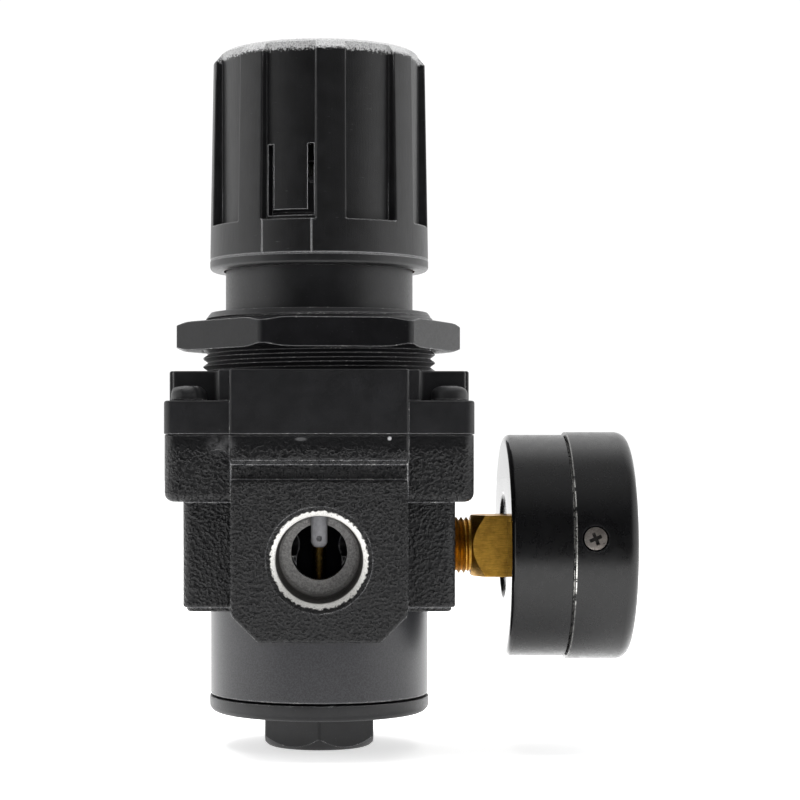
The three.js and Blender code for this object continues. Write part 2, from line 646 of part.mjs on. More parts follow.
function gaugeBezel() {
  const inner = BEZEL_R - 0.8;
  const hole = (angle) => {
    const [x, y] = clock(1, angle);
    return laid(cone(1.2, 2.35, 19.2, BEZEL_R + 0.1, FINE), [x, y, 0], [0, 0, BEZEL_SCREW_X]);
  };
  return cut(
    turned([
      [inner, BEZEL_BACK], [BEZEL_R, BEZEL_BACK], [BEZEL_R, BEZEL_FRONT - 2], [19.9, BEZEL_FRONT - 0.6],
      [18.8, BEZEL_FRONT], [LIP_R, BEZEL_FRONT], [LIP_R, BEZEL_FRONT - 0.7], [18.6, BEZEL_FRONT - 0.7],
      [19.3, BEZEL_FRONT - 1.2], [inner, BEZEL_FRONT - 2.2], [inner, BEZEL_BACK],
    ]),
    ...bezelScrewAngles().map(hole),
  );
}

const gaugeLens = () => rod(18.4, 52.8, 54.3);
const lensGasket = () => ring(17.2, 18.4, 51.5, 52.5);

function gaugeDial() {
  const holes = dialScrewPlaces().map(([x, y]) => rod(1, 47, 50, COARSE).translate(x, y, 0));
  return cut(rod(18.1, 48.2, 48.7), rod(1.2, 47, 50, COARSE), ...holes);
}

function dialScrewPlaces() {
  return [clock(3.2, 0), clock(12, 197)];
}

const dialScrew = ([x, y]) => crossScrew(1.3, 0.8, 0.7, 1.1).translate(x, y, 49);

// Zero is at the lower left of the dial.
const ZERO_CLOCK = -135;

function gaugePointer() {
  const needle = polygon([[-14.2, -0.25], [-14.2, 0.25], [0, 1], [4.6, 1.3], [4.6, -1.3], [0, -1]]);
  const flat = extruded(needle, 50.1, 50.4);
  const hub = join(flat, rod(1.8, 50.1, 51.1, COARSE));
  return cut(hub, rod(0.8, 49, 50.8, COARSE)).rotate([0, 0, -ZERO_CLOCK]);
}

// Trapezoid teeth on a circle, from the first to the last tooth angle.
function toothOutline(pitchR, firstDeg, lastDeg, pitchDeg, rootR, tipR, rootWidth, tipWidth) {
  const points = [];
  for (let deg = firstDeg; deg <= lastDeg + 0.01; deg += pitchDeg) {
    const half = (width, r) => THREE.MathUtils.radToDeg(width / 2 / r);
    points.push(clock(rootR, deg - half(rootWidth, pitchR)), clock(tipR, deg - half(tipWidth, pitchR)));
    points.push(clock(tipR, deg + half(tipWidth, pitchR)), clock(rootR, deg + half(rootWidth, pitchR)));
  }
  return points;
}

function pointerShaft() {
  const pitch = 360 / PINION_TEETH;
  const teeth = toothOutline(PINION_R, pitch / 2, 360, pitch, 0.68, 1.18, 0.3, 0.16);
  const pinion = extruded(polygon(teeth), 43, 45);
  return join(rod(0.5, 41.3, 50.6, COARSE), pinion);
}

// The toothed sector, its arbor and the tail that the link pulls, about its own pivot.
function sectorGear() {
  const reach = 4 * SECTOR_PITCH_DEG;
  const teeth = toothOutline(SECTOR_R, -reach, reach, SECTOR_PITCH_DEG, 8.68, 9.18, 0.3, 0.16);
  const web = clock(1.2, 90);
  const blade = extruded(polygon([...teeth, web, [-web[0], -web[1]]]), 43.3, 44.7);
  const tail = extruded(polygon([[0, -0.8], [0, 0.8], [4.6, 0.7], [4.6, -0.7]]), 43.45, 44.55);
  const pin = rod(0.4, 44.2, 45.6, COARSE).translate(TAIL_LENGTH, 0, 0);
  return join(blade, tail, rod(1.4, 43.1, 44.9, COARSE), rod(0.5, 41.3, 46.7, COARSE), pin);
}

// The link from the sector's tail pin to the tube's tip pin. Its far end is slotted, because the
// tube's tip stands still here while the link travels.
const LINK_SLOT = 2.4;

function gaugeLink(from, to) {
  const along = new THREE.Vector2(to[0] - from[0], to[1] - from[1]);
  const length = along.length();
  const bar = box(0, length, -0.5, 0.5, 45.05, 45.45);
  const eye = rod(1.1, 45, 45.5, COARSE);
  const slotted = box(length - LINK_SLOT - 1.1, length + 1.1, -1.3, 1.3, 45, 45.5);
  const hole = rod(0.7, 44, 46, COARSE);
  const slot = box(length - LINK_SLOT, length + 0.6, -0.8, 0.8, 44, 46);
  return cut(join(bar, eye, slotted), hole, slot)
    .rotate([0, 0, THREE.MathUtils.radToDeg(along.angle())])
    .translate(from[0], from[1], 0);
}

const PILLAR_PLACES = [clock(4.4, 0), clock(13.4, -158)];

function movementPlate(bottom, top, dialScrewHoles) {
  const [low, high] = [15.2, -6.4];
  const plate = box(high, low, -6.6, 3.4, bottom, top);
  const holes = dialScrewHoles
    ? dialScrewPlaces().map(([x, y]) => rod(1, bottom - OVER, top + OVER, COARSE).translate(x, y, 0))
    : [];
  return cut(
    plate,
    rod(0.8, bottom - OVER, top + OVER, COARSE),
    rod(0.8, bottom - OVER, top + OVER, COARSE).translate(SECTOR_PIVOT_DROP, 0, 0),
    ...holes,
  );
}

const movementPillar = ([x, y]) => rod(0.9, 42.1, 45.9, COARSE).translate(x, y, 0);

const TUBE_R = 15;
const TUBE_START = -165;
const TUBE_END = 98;

// A flattened brass tube bent round the dial's axis from the socket block to its free tip.
function bourdonTube() {
  class Arc extends THREE.Curve {
    getPoint(t, target = new THREE.Vector3()) {
      const [x, y] = clock(TUBE_R, TUBE_START + (TUBE_END - TUBE_START) * t);
      return target.set(x, y, 38);
    }
  }
  const section = new THREE.Shape();
  section.absellipse(0, 0, 2.4, 1, 0, 2 * Math.PI);
  return solid(new THREE.ExtrudeGeometry(section, {
    steps: 24,
    curveSegments: 4,
    bevelEnabled: false,
    extrudePath: new Arc(),
  }));
}

const TIP_PIN = clock(TUBE_R, 106);

function bourdonTip() {
  const block = box(-1.6, 1.6, -1.4, 1.4, 36.5, 44.6).rotate([0, 0, -106]).translate(TIP_PIN[0], TIP_PIN[1], 0);
  return join(block, rod(0.4, 44.2, 45.6, COARSE).translate(TIP_PIN[0], TIP_PIN[1], 0));
}

function pressureGauge() {
  const group = new THREE.Group();
  group.position.set(0, 0, GAUGE_Z);
  group.rotation.y = Math.PI / 2;
  const swing = -SECTOR_SWING_DEG;
  const pivot = [SECTOR_PIVOT_DROP, 0];
  const tailPin = [
    pivot[0] + TAIL_LENGTH * Math.cos(THREE.MathUtils.degToRad(swing)),
    pivot[1] + TAIL_LENGTH * Math.sin(THREE.MathUtils.degToRad(swing)),
  ];
  group.add(
    piece('gauge_socket', gaugeSocket(), BRASS),
    piece('gauge_case', gaugeCase(), BLACK_STEEL),
    piece('gauge_bezel', gaugeBezel(), BLACK_STEEL),
    piece('lens_gasket', lensGasket(), RUBBER),
    piece('gauge_lens', gaugeLens(), CLEAR),
    piece('gauge_dial', gaugeDial(), DIAL_WHITE),
    piece('gauge_pointer', gaugePointer(), BLACK_STEEL),
    piece('pointer_shaft', pointerShaft(), BRASS),
    piece('sector_gear', sectorGear().rotate([0, 0, swing]).translate(pivot[0], pivot[1], 0), BRASS),
    piece('gauge_link', gaugeLink(tailPin, TIP_PIN), BRASS),
    piece('movement_plate_rear', movementPlate(41, 41.8, false), BRASS),
    piece('movement_plate_front', movementPlate(46.2, 47, true), BRASS),
    piece('bourdon_tube', bourdonTube(), BRASS),
    piece('bourdon_tip', bourdonTip(), BRASS),
  );
  bezelScrewAngles().forEach((angle, i) => {
    group.add(piece(`bezel_screw_${i + 1}`, bezelScrew(angle), STEEL));
  });
  dialScrewPlaces().forEach((place, i) => {
    group.add(piece(`dial_screw_${i + 1}`, dialScrew(place), STEEL));
  });
  PILLAR_PLACES.forEach((place, i) => {
    group.add(piece(`movement_pillar_${i + 1}`, movementPillar(place), BRASS));
  });
  return group;
}

// ---------------------------------------------------------------- assembly

const group = new THREE.Group();

group.add(
  piece('body', body(), CAST_PAINT),
  piece('bottom_cap', bottomCap(), SATIN_PAINT),
  piece('bottom_cap_oring', roundRing(14.1, 0.75, 11.25), RUBBER),
  piece('valve_seat', valveSeat(), BRASS),
  piece('seat_oring', roundRing(6.4, 0.55, 26.8, FINE), RUBBER),
  piece('valve_poppet', valvePoppet(), BRASS),
  piece('poppet_seal', poppetSeal(), RUBBER),
  piece('valve_stem', valveStem(), BRASS),
  piece('valve_spring', coilSpring(4.6, 0.5, 4.9, 16.5, 5, 8, 2), STEEL),
  piece('aspirator_tube', aspiratorTube(), GREY_PLASTIC),
  piece('diaphragm', diaphragm(), RUBBER),
  piece('lower_diaphragm_plate', lowerDiaphragmPlate(), STEEL),
  piece('spring_plate', springPlate(), STEEL),
  piece('relief_seat', reliefSeat(), BRASS),
  piece('diaphragm_nut', diaphragmNut(), STEEL),
  piece('regulating_spring', coilSpring(11.3, 1.5, 59.3, SEAT_BOTTOM - 1.9, 6, 12, 3), STEEL),
  piece('spring_seat', springSeat(), STEEL),
  piece('adjusting_screw', adjustingScrew(), STEEL),
  piece('thrust_washer', thrustWasher(), STEEL),
  piece('screw_clip', screwClip(), STEEL),
  piece('bonnet', bonnet(), SATIN_PAINT),
  piece('panel_nut', panelNut(), SATIN_PAINT),
  piece('indicator_ring', indicatorRing(), ORANGE_PLASTIC),
  piece('knob', knob(), BLACK_PLASTIC),
  piece('gauge_plug', gaugePlug(), BRASS),
);

screwPlaces().forEach(([x, y], i) => {
  const screw = crossScrew(3.2, 2.5, 1.9, 13.5).translate(x, y, PAD_TOP + 0.1);
  group.add(piece(`bonnet_screw_${i + 1}`, screw, BLACK_STEEL));
});

group.add(pressureGauge());

export default group;
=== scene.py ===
"""An air pressure regulator with its gauge: detailed surfaces, materials, light and camera.

Lengths are millimetres until piece() turns them into metres; only the camera, lamps and floor are
placed in metres. +Z is up, the outlet port faces -Y and the gauge is on +X.
"""
import json
import math

import bmesh
import bpy
from mathutils import Matrix, Vector


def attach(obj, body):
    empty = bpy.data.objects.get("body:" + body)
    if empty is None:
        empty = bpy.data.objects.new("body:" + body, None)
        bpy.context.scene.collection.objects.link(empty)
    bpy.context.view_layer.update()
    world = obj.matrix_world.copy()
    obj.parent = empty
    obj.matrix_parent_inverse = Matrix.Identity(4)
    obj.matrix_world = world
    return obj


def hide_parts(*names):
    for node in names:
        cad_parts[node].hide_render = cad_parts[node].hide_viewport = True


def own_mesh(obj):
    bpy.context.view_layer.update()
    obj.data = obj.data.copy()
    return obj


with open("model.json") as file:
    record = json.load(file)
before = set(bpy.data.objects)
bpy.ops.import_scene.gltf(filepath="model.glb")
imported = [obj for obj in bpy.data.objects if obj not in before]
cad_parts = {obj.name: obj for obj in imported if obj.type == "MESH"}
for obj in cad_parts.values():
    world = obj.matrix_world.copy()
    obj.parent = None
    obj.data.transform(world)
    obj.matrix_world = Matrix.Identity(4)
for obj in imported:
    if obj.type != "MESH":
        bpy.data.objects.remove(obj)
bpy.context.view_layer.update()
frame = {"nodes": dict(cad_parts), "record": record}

MM = 0.001
TAU = 2 * math.pi

# ---------------------------------------------------------------- camera

CAMERA_PLACE = (0, -0.4025, 0.054)
CAMERA_LENS, SENSOR_WIDTH = 100, 36
CAMERA_SHIFT = (0.101, 0.057)
NEAR_CLIP = 0.01

camera_data = bpy.data.cameras.new("camera")
camera_data.lens = CAMERA_LENS
camera_data.sensor_width = SENSOR_WIDTH
camera_data.shift_x, camera_data.shift_y = CAMERA_SHIFT
camera_data.clip_start = NEAR_CLIP
camera = bpy.data.objects.new("camera", camera_data)
camera.location = CAMERA_PLACE
camera.rotation_euler = (math.pi / 2, 0, 0)
bpy.context.scene.collection.objects.link(camera)
bpy.context.scene.camera = camera
bpy.context.scene.view_settings.view_transform = "Standard"

# ---------------------------------------------------------------- outlines


def fillet(points, radii, steps=4):
    """A closed outline with its corners rounded. radii is one radius, or one for each corner."""
    count = len(points)
    if not hasattr(radii, "__len__"):
        radii = [radii] * count
    rounded = []
    for i, radius in enumerate(radii):
        here = Vector(points[i])
        back = (Vector(points[i - 1]) - here).normalized()
        ahead = (Vector(points[(i + 1) % count]) - here).normalized()
        if radius <= 0 or back.angle(ahead) > math.pi - 0.01:
            rounded.append(tuple(here))
            continue
        half = back.angle(ahead) / 2
        centre = here + (back + ahead).normalized() * (radius / math.sin(half))
        start = here + back * (radius / math.tan(half)) - centre
        end = here + ahead * (radius / math.tan(half)) - centre
        sweep = math.atan2(start.x * end.y - start.y * end.x, start.dot(end))
        for step in range(steps + 1):
            rounded.append(tuple(centre + Matrix.Rotation(sweep * step / steps, 2) @ start))
    return rounded


def rectangle(half_x, half_y, radius, steps=6):
    corners = [(half_x, half_y), (-half_x, half_y), (-half_x, -half_y), (half_x, -half_y)]
    return fillet(corners, radius, steps)


def circle(radius, steps, turn=0.0):
    return [(radius * math.cos(turn + TAU * k / steps), radius * math.sin(turn + TAU * k / steps))
            for k in range(steps)]


def hexagon(flats, turn=0.0):
    """Corners towards +Y and -Y before turning, in degrees."""
    return circle(flats / math.sqrt(3), 6, math.radians(90 + turn))


def inset(outline, distance):
    """The outline moved inwards by a distance. It runs counterclockwise."""
    moved = []
    count = len(outline)
    for i, point in enumerate(outline):
        before = (Vector(point) - Vector(outline[i - 1])).normalized()
        after = (Vector(outline[(i + 1) % count]) - Vector(point)).normalized()
        if before.length < 0.5:
            before = after
        if after.length < 0.5:
            after = before
        left = Vector((-before.y - after.y, before.x + after.x))
        scale = 1 + before.dot(after)
        moved.append((point[0] + distance * left.x / scale, point[1] + distance * left.y / scale))
    return moved


def polar(radius, degrees):
    """A point by its angle from -Y towards +X."""
    angle = math.radians(degrees)
    return (radius * math.sin(angle), -radius * math.cos(angle))


def clock(radius, degrees):
    """A point of the dial by its clock angle, in the gauge's own plane."""
    angle = math.radians(degrees)
    return (-radius * math.cos(angle), radius * math.sin(angle))


# ---------------------------------------------------------------- solids


def face_out(bm):
    bmesh.ops.recalc_face_normals(bm, faces=bm.faces)
    if bm.calc_volume(signed=True) < 0:
        bmesh.ops.reverse_faces(bm, faces=bm.faces)


def mesh_of(build):
    """A mesh with merged points and outward faces, filled in by build(bm)."""
    bm = bmesh.new()
    build(bm)
    bmesh.ops.remove_doubles(bm, verts=bm.verts, dist=1e-5)
    face_out(bm)
    mesh = bpy.data.meshes.new("solid")
    bm.to_mesh(mesh)
    bm.free()
    return mesh


def skin(bm, rings, closed_ends=True, loop=False):
    """Quads between rings of the same number of points. A ring of one point is a tip."""
    rows = [[bm.verts.new(p) for p in ring] for ring in rings]
    pairs = list(zip(rows, rows[1:]))
    if loop:
        pairs.append((rows[-1], rows[0]))
    for a, b in pairs:
        count = max(len(a), len(b))
        for k in range(count):
            n = (k + 1) % count
            corners = []
            for vert in (a[k % len(a)], a[n % len(a)], b[n % len(b)], b[k % len(b)]):
                if vert not in corners:
                    corners.append(vert)
            if len(corners) > 2:
                bm.faces.new(corners)
    if closed_ends and not loop:
        for row in (rows[0], rows[-1]):
            if len(row) > 2:
                bm.faces.new(row)


def turned(profile, steps=96):
    """A solid turned about Z from (radius, height) points.

    The profile starts and ends on the axis, or else it closes on itself.
    """
    def build(bm):
        rings = []
        for r, z in profile:
            rings.append([(0, 0, z)] if r < 1e-6 else [(x, y, z) for x, y in circle(r, steps)])
        on_axis = profile[0][0] < 1e-6
        skin(bm, rings, closed_ends=False, loop=not on_axis)
    return mesh_of(build)


def rod(radius, bottom, top, steps=64):
    return turned([(0, bottom), (radius, bottom), (radius, top), (0, top)], steps)


def prism(outline, bottom, top, lower=0.0, upper=0.0, steps=4):
    """An outline drawn up along Z, with its lower and upper edges rounded."""
    levels = []
    for step in range(steps + 1):
        angle = math.pi / 2 * step / steps
        levels.append((lower * (1 - math.sin(angle)), bottom + lower * (1 - math.cos(angle))))
    for step in range(steps + 1):
        angle = math.pi / 2 * (1 - step / steps)
        levels.append((upper * (1 - math.sin(angle)), top - upper * (1 - math.cos(angle))))
    levels = [level for i, level in enumerate(levels) if i == 0 or level != levels[i - 1]]

    def build(bm):
        skin(bm, [[(x, y, z) for x, y in inset(outline, d)] for d, z in levels])
    return mesh_of(build)


def block(x0, x1, y0, y1, z0, z1, edge=0.0):
    outline = [(x1, y1), (x0, y1), (x0, y0), (x1, y0)]
    return prism(outline, z0, z1, edge, edge)


def wedge(middle, width, inner, outer, bottom, top, corner=0.0, steps=8):
    """A sector of a ring about Z between two angles from -Y towards +X, in degrees."""
    angles = [middle + width * (i / steps - 0.5) for i in range(steps + 1)]
    outline = [polar(outer, a) for a in angles] + [polar(inner, a) for a in reversed(angles)]
    radii = [0.0] * len(outline)
    radii[steps + 1] = radii[-1] = corner
    return prism(fillet(outline, radii, 3), bottom, top)


def threaded(crest, root, pitch, bottom, top, columns=96, rows=8, lead_in=0.0):
    """A rod with a right-hand helical thread. lead_in comes off its radius at the top end."""
    count = rows * (int(math.ceil((top - bottom) / pitch)) + 1)

    def ridge_at(phase):
        return min(1.0, max(0.0, (1 - abs(2 * (phase % 1) - 1)) * 1.25 - 0.1))

    def place(row, turn):
        phase = row / rows
        height = bottom + pitch * (row / rows - 1 + turn)
        if height < bottom or height > top:
            height = min(top, max(bottom, height))
            phase = (height - bottom) / pitch - turn
        r = root + (crest - root) * ridge_at(phase)
        r = min(r, crest - lead_in * max(0.0, 1 - (top - height) / (1.2 * pitch)))
        return (r * math.cos(TAU * turn), r * math.sin(TAU * turn), height)

    def build(bm):
        grid = [[bm.verts.new(place(row, k / columns)) for k in range(columns + 1)]
                for row in range(count + 1)]
        for low, high in zip(grid, grid[1:]):
            for k in range(columns):
                bm.faces.new((low[k], low[k + 1], high[k + 1], high[k]))
        bmesh.ops.remove_doubles(bm, verts=bm.verts, dist=1e-4)
        rim = [e for e in bm.edges if e.is_boundary]
        bmesh.ops.holes_fill(bm, edges=rim, sides=0)
    return mesh_of(build)


def coil(radius, wire, bottom, top, turns, per_turn=40, sides=12):
    """A compression spring's wire, with closed ends ground nearly flat."""
    def height_at(t):
        share = min(1.0, max(0.0, (t - 0.06) / 0.88))
        ease = 0.5 - 0.5 * math.cos(math.pi * share)
        return bottom + (top - bottom) * (0.35 * ease + 0.65 * share)

    def build(bm):
        rings = []
        count = int(turns * per_turn)
        for step in range(count + 1):
            t = step / count
            angle = TAU * turns * t
            centre = Vector((radius * math.cos(angle), radius * math.sin(angle), height_at(t)))
            out = Vector((math.cos(angle), math.sin(angle), 0))
            rings.append([tuple(centre + wire * (math.cos(a) * out + math.sin(a) * Vector((0, 0, 1))))
                          for a in [TAU * s / sides for s in range(sides)]])
        skin(bm, rings)
    return mesh_of(build)


def moved(mesh, x=0.0, y=0.0, z=0.0, turn=0.0):
    """The mesh turned about Z by so many degrees and then shifted."""
    mesh.transform(Matrix.Translation((x, y, z)) @ Matrix.Rotation(math.radians(turn), 4, "Z"))
    return mesh


def laid(mesh, direction, point):
    """The mesh with its +Z laid along a direction, through a point."""
    turn = Vector((0, 0, 1)).rotation_difference(Vector(direction)).to_matrix().to_4x4()
    mesh.transform(Matrix.Translation(point) @ turn)
    return mesh


PORT_Z, GAUGE_Z = 34.6, 36
GAUGE_TURN = Matrix.Translation((0, 0, GAUGE_Z)) @ Matrix.Rotation(math.pi / 2, 4, "Y")


def on_gauge(mesh):
    """From the gauge's own frame, built about Z, to the regulator's frame."""
    mesh.transform(GAUGE_TURN)
    return mesh


def combined(operation, base, others):
    """Exact boolean of a mesh with several others, one after another."""
    scene = bpy.context.scene
    target = bpy.data.objects.new("base", base)
    scene.collection.objects.link(target)
    tools = []
    for mesh in others:
        tool = bpy.data.objects.new("tool", mesh)
        scene.collection.objects.link(tool)
        step = target.modifiers.new("boolean", "BOOLEAN")
        step.operation = operation
        step.solver = "EXACT"
        step.object = tool
        tools.append(tool)
    bpy.context.view_layer.update()
    graph = bpy.context.evaluated_depsgraph_get()
    result = bpy.data.meshes.new_from_object(target.evaluated_get(graph), depsgraph=graph)
    for o in [target, *tools]:
        bpy.data.objects.remove(o)
    for mesh in [base, *others]:
        bpy.data.meshes.remove(mesh)
    return result


def join(base, *others):
    return combined("UNION", base, others)


def cut(base, *others):
    return combined("DIFFERENCE", base, others)


def common(base, *others):
    return combined("INTERSECT", base, others)


def tidied(mesh):
    """The mesh without the zero-length edges and flat dust that a boolean can leave."""
    bm = bmesh.new()
    bm.from_mesh(mesh)
    bmesh.ops.remove_doubles(bm, verts=bm.verts, dist=2e-4)
    bmesh.ops.dissolve_degenerate(bm, edges=bm.edges, dist=1e-4)
    face_out(bm)
    bm.to_mesh(mesh)
    bm.free()
    return mesh


def piece(name, mesh, body, material, *nodes, crease=32):
    """A finished piece: in metres, smooth between its sharp edges, on a body, for its CAD nodes."""
    mesh = tidied(mesh)
    mesh.name = name
    mesh.transform(Matrix.Scale(MM, 4))
    mesh.materials.clear()
    mesh.materials.append(material)
    mesh.polygons.foreach_set("use_smooth", [True] * len(mesh.polygons))
    mesh.polygons.foreach_set("material_index", [0] * len(mesh.polygons))
    mesh.set_sharp_from_angle(angle=math.radians(crease))
    obj = bpy.data.objects.new(name, mesh)
    bpy.context.scene.collection.objects.link(obj)
    weighted = obj.modifiers.new("weighted", "WEIGHTED_NORMAL")
    weighted.keep_sharp = True
    weighted.weight = 100
    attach(obj, body)
    if nodes:
        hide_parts(*nodes)
    return obj

# ---------------------------------------------------------------- materials


SOCKETS = {"colour": "Base Color", "rough": "Roughness", "metal": "Metallic", "normal": "Normal"}


class Nodes:
    """One tree of shader nodes, wired with short calls."""

    def __init__(self, tree):
        self.tree = tree

    def node(self, kind, **settings):
        made = self.tree.nodes.new(kind)
        for key, value in settings.items():
            setattr(made, key, value)
        return made

    def link(self, source, socket):
        """Feed a socket from another socket, or set it to a number or colour."""
        if hasattr(source, "is_output"):
            self.tree.links.new(source, socket)
        elif hasattr(source, "__len__") and len(source) == 3 and len(socket.default_value) == 4:
            socket.default_value = (*source, 1)
        else:
            socket.default_value = source

    def span(self, value, low, high, to_low=0.0, to_high=1.0):
        """A smooth step of a value from one range to another."""
        made = self.node("ShaderNodeMapRange", interpolation_type="SMOOTHSTEP", clamp=True)
        for socket, number in zip(made.inputs[1:5], (low, high, to_low, to_high)):
            self.link(number, socket)
        self.link(value, made.inputs[0])
        return made.outputs[0]

    def math(self, operation, a, b=0.0):
        made = self.node("ShaderNodeMath", operation=operation)
        self.link(a, made.inputs[0])
        self.link(b, made.inputs[1])
        return made.outputs[0]

    def folded(self, operation, values):
        total = values[0]
        for value in values[1:]:
            total = self.math(operation, total, value)
        return total

    def times(self, *values):
        return self.folded("MULTIPLY", values)

    def plus(self, *values):
        return self.folded("ADD", values)

    def any_of(self, *values):
        return self.folded("MAXIMUM", values)

    def mixed(self, data_type, share, a, b):
        made = self.node("ShaderNodeMix", data_type=data_type)
        first, out = (6, 2) if data_type == "RGBA" else (2, 0)
        self.link(share, made.inputs["Factor"])
        self.link(a, made.inputs[first])
        self.link(b, made.inputs[first + 1])
        return made.outputs[out]

    def blend(self, share, a, b):
        """From number a to number b."""
        return self.mixed("FLOAT", share, a, b)

    def mix(self, share, a, b):
        """From colour a to colour b."""
        return self.mixed("RGBA", share, a, b)

    def over(self, colour, *layers):
        """A colour with others laid over it in turn, each given as (mask, share, colour)."""
        for mask, share, layer in layers:
            colour = self.mix(self.times(mask, share), colour, layer)
        return colour


class Finish(Nodes):
    """A procedural material whose textures are laid out in millimetres of the part's own frame."""

    def __init__(self, name, base, roughness, metallic=0.0, specular=0.5):
        self.material = bpy.data.materials.new(name)
        self.material.use_nodes = True
        super().__init__(self.material.node_tree)
        self.shader = self.tree.nodes["Principled BSDF"]
        self.shader.inputs["Base Color"].default_value = (*base, 1)
        self.shader.inputs["Roughness"].default_value = roughness
        self.shader.inputs["Metallic"].default_value = metallic
        self.shader.inputs["Specular IOR Level"].default_value = specular
        coordinates = self.node("ShaderNodeTexCoord")
        scaled = self.node("ShaderNodeVectorMath", operation="SCALE")
        self.link(coordinates.outputs["Object"], scaled.inputs[0])
        scaled.inputs["Scale"].default_value = 1 / MM
        self.place = scaled.outputs[0]
        split = self.node("ShaderNodeSeparateXYZ")
        self.link(self.place, split.inputs[0])
        self.x, self.y, self.z = split.outputs

    def stretched(self, x=1.0, y=1.0, z=1.0, turn=(0, 0, 0)):
        """The place, scaled on each axis and turned, for marks that run one way."""
        mapping = self.node("ShaderNodeMapping")
        mapping.inputs["Scale"].default_value = (x, y, z)
        mapping.inputs["Rotation"].default_value = [math.radians(a) for a in turn]
        self.link(self.place, mapping.inputs[0])
        return mapping.outputs[0]

    def noise(self, per_mm, detail=3.0, rough=0.5, place=None, distortion=0.0):
        made = self.node("ShaderNodeTexNoise")
        made.inputs["Scale"].default_value = per_mm
        made.inputs["Detail"].default_value = detail
        made.inputs["Roughness"].default_value = rough
        made.inputs["Distortion"].default_value = distortion
        self.link(place or self.place, made.inputs["Vector"])
        return made.outputs[0]

    def bump(self, height, millimetres, normal=None):
        made = self.node("ShaderNodeBump")
        made.inputs["Distance"].default_value = millimetres * MM
        self.link(height, made.inputs["Height"])
        if normal is not None:
            self.link(normal, made.inputs["Normal"])
        return made.outputs[0]

    def edges(self, radius, low=0.02, high=0.25):
        """1 along the shape's edges and 0 on its faces, from how far a bevelled normal leans."""
        rounded = self.node("ShaderNodeBevel", samples=4)
        rounded.inputs["Radius"].default_value = radius * MM
        face = self.node("ShaderNodeNewGeometry")
        lean = self.node("ShaderNodeVectorMath", operation="DOT_PRODUCT")
        self.link(rounded.outputs[0], lean.inputs[0])
        self.link(face.outputs["Normal"], lean.inputs[1])
        return self.span(self.math("SUBTRACT", 1.0, lean.outputs["Value"]), low, high)

    def around(self, a, b, centre_a=0.0, centre_b=0.0):
        """The distance from an axis, from two coordinates of the place."""
        da = self.math("SUBTRACT", a, centre_a)
        db = self.math("SUBTRACT", b, centre_b)
        return self.math("SQRT", self.plus(self.times(da, da), self.times(db, db)))

    def near(self, a, b, centre, inner, outer):
        """1 within the inner distance of a centre, fading to 0 at the outer one."""
        return self.span(self.around(a, b, *centre), inner, outer, 1.0, 0.0)

    def fed(self, **values):
        """The material, with the shader's sockets fed by the names in SOCKETS."""
        for name, value in values.items():
            self.link(value, self.shader.inputs[SOCKETS[name]])
        return self.material


BLACK = (0.0022, 0.0022, 0.0026)
WORN = (0.30, 0.30, 0.31)
BARE = (0.80, 0.79, 0.76)

# Radii, heights and places along the gauge, each from where one finish begins to give way to where the
# next has taken over; at the port's wall that is painted shade, at the knob's shoulder a painted
# highlight.
CYLINDER_EDGE, CYLINDER_TOP = (19.9, 20.8), (25.5, 26.6)
CASTING_TOP = (51.2, 54.5)
PORT_MOUTH, PORT_WALL_SHADE, PORT_RING = (8.22, 8.4), (11.3, 11.9), (25.0, 26.0)
KNOB_SHOULDER_HIGHLIGHT = (122.7, 123.1)
GAUGE_BACK, SEAM_START, SEAM_END = (33.75, 34.1), (44.0, 44.15), (44.38, 44.5)


def port_metal(m, depth):
    """Bare metal that goes outwards from a pale shoulder to a wall darkened as painted shade, and a
    bright ring.
    """
    speckle = m.span(m.noise(3.0, 3.0, 0.7), 0.35, 0.65)
    metal = m.mix(speckle, (0.26, 0.255, 0.25), (0.50, 0.49, 0.48))
    # The bore's wall is painted darker than its shoulder and ring: painted shade.
    metal = m.mix(m.span(depth, *PORT_WALL_SHADE), metal, (0.10, 0.095, 0.09))
    metal = m.mix(m.span(depth, *PORT_RING), metal, BARE)
    pits = m.span(m.noise(5.5, 3.0, 0.7), 0.56, 0.66)
    return m.over(metal, (pits, 0.75, (0.12, 0.115, 0.11)))


def front_flaws(m):
    """A smear, a short streak and a nick in the paint of the front face."""
    smear = m.times(m.near(m.x, m.times(m.z, 1.3), (-16.6, 70.4), 0.4, 3.2),
                    m.span(m.noise(0.8, 4.0, 0.6), 0.36, 0.58))
    streak = m.near(m.x, m.times(m.z, 3.0), (-3.1, 165.3), 0.5, 1.3)
    nick = m.near(m.x, m.z, (11.9, 55.2), 0.2, 0.42)
    front = m.span(m.y, -21.0, -20.0, 1.0, 0.0)
    return m.times(front, m.any_of(m.times(smear, 0.1), m.times(streak, 0.12), m.times(nick, 0.8)))


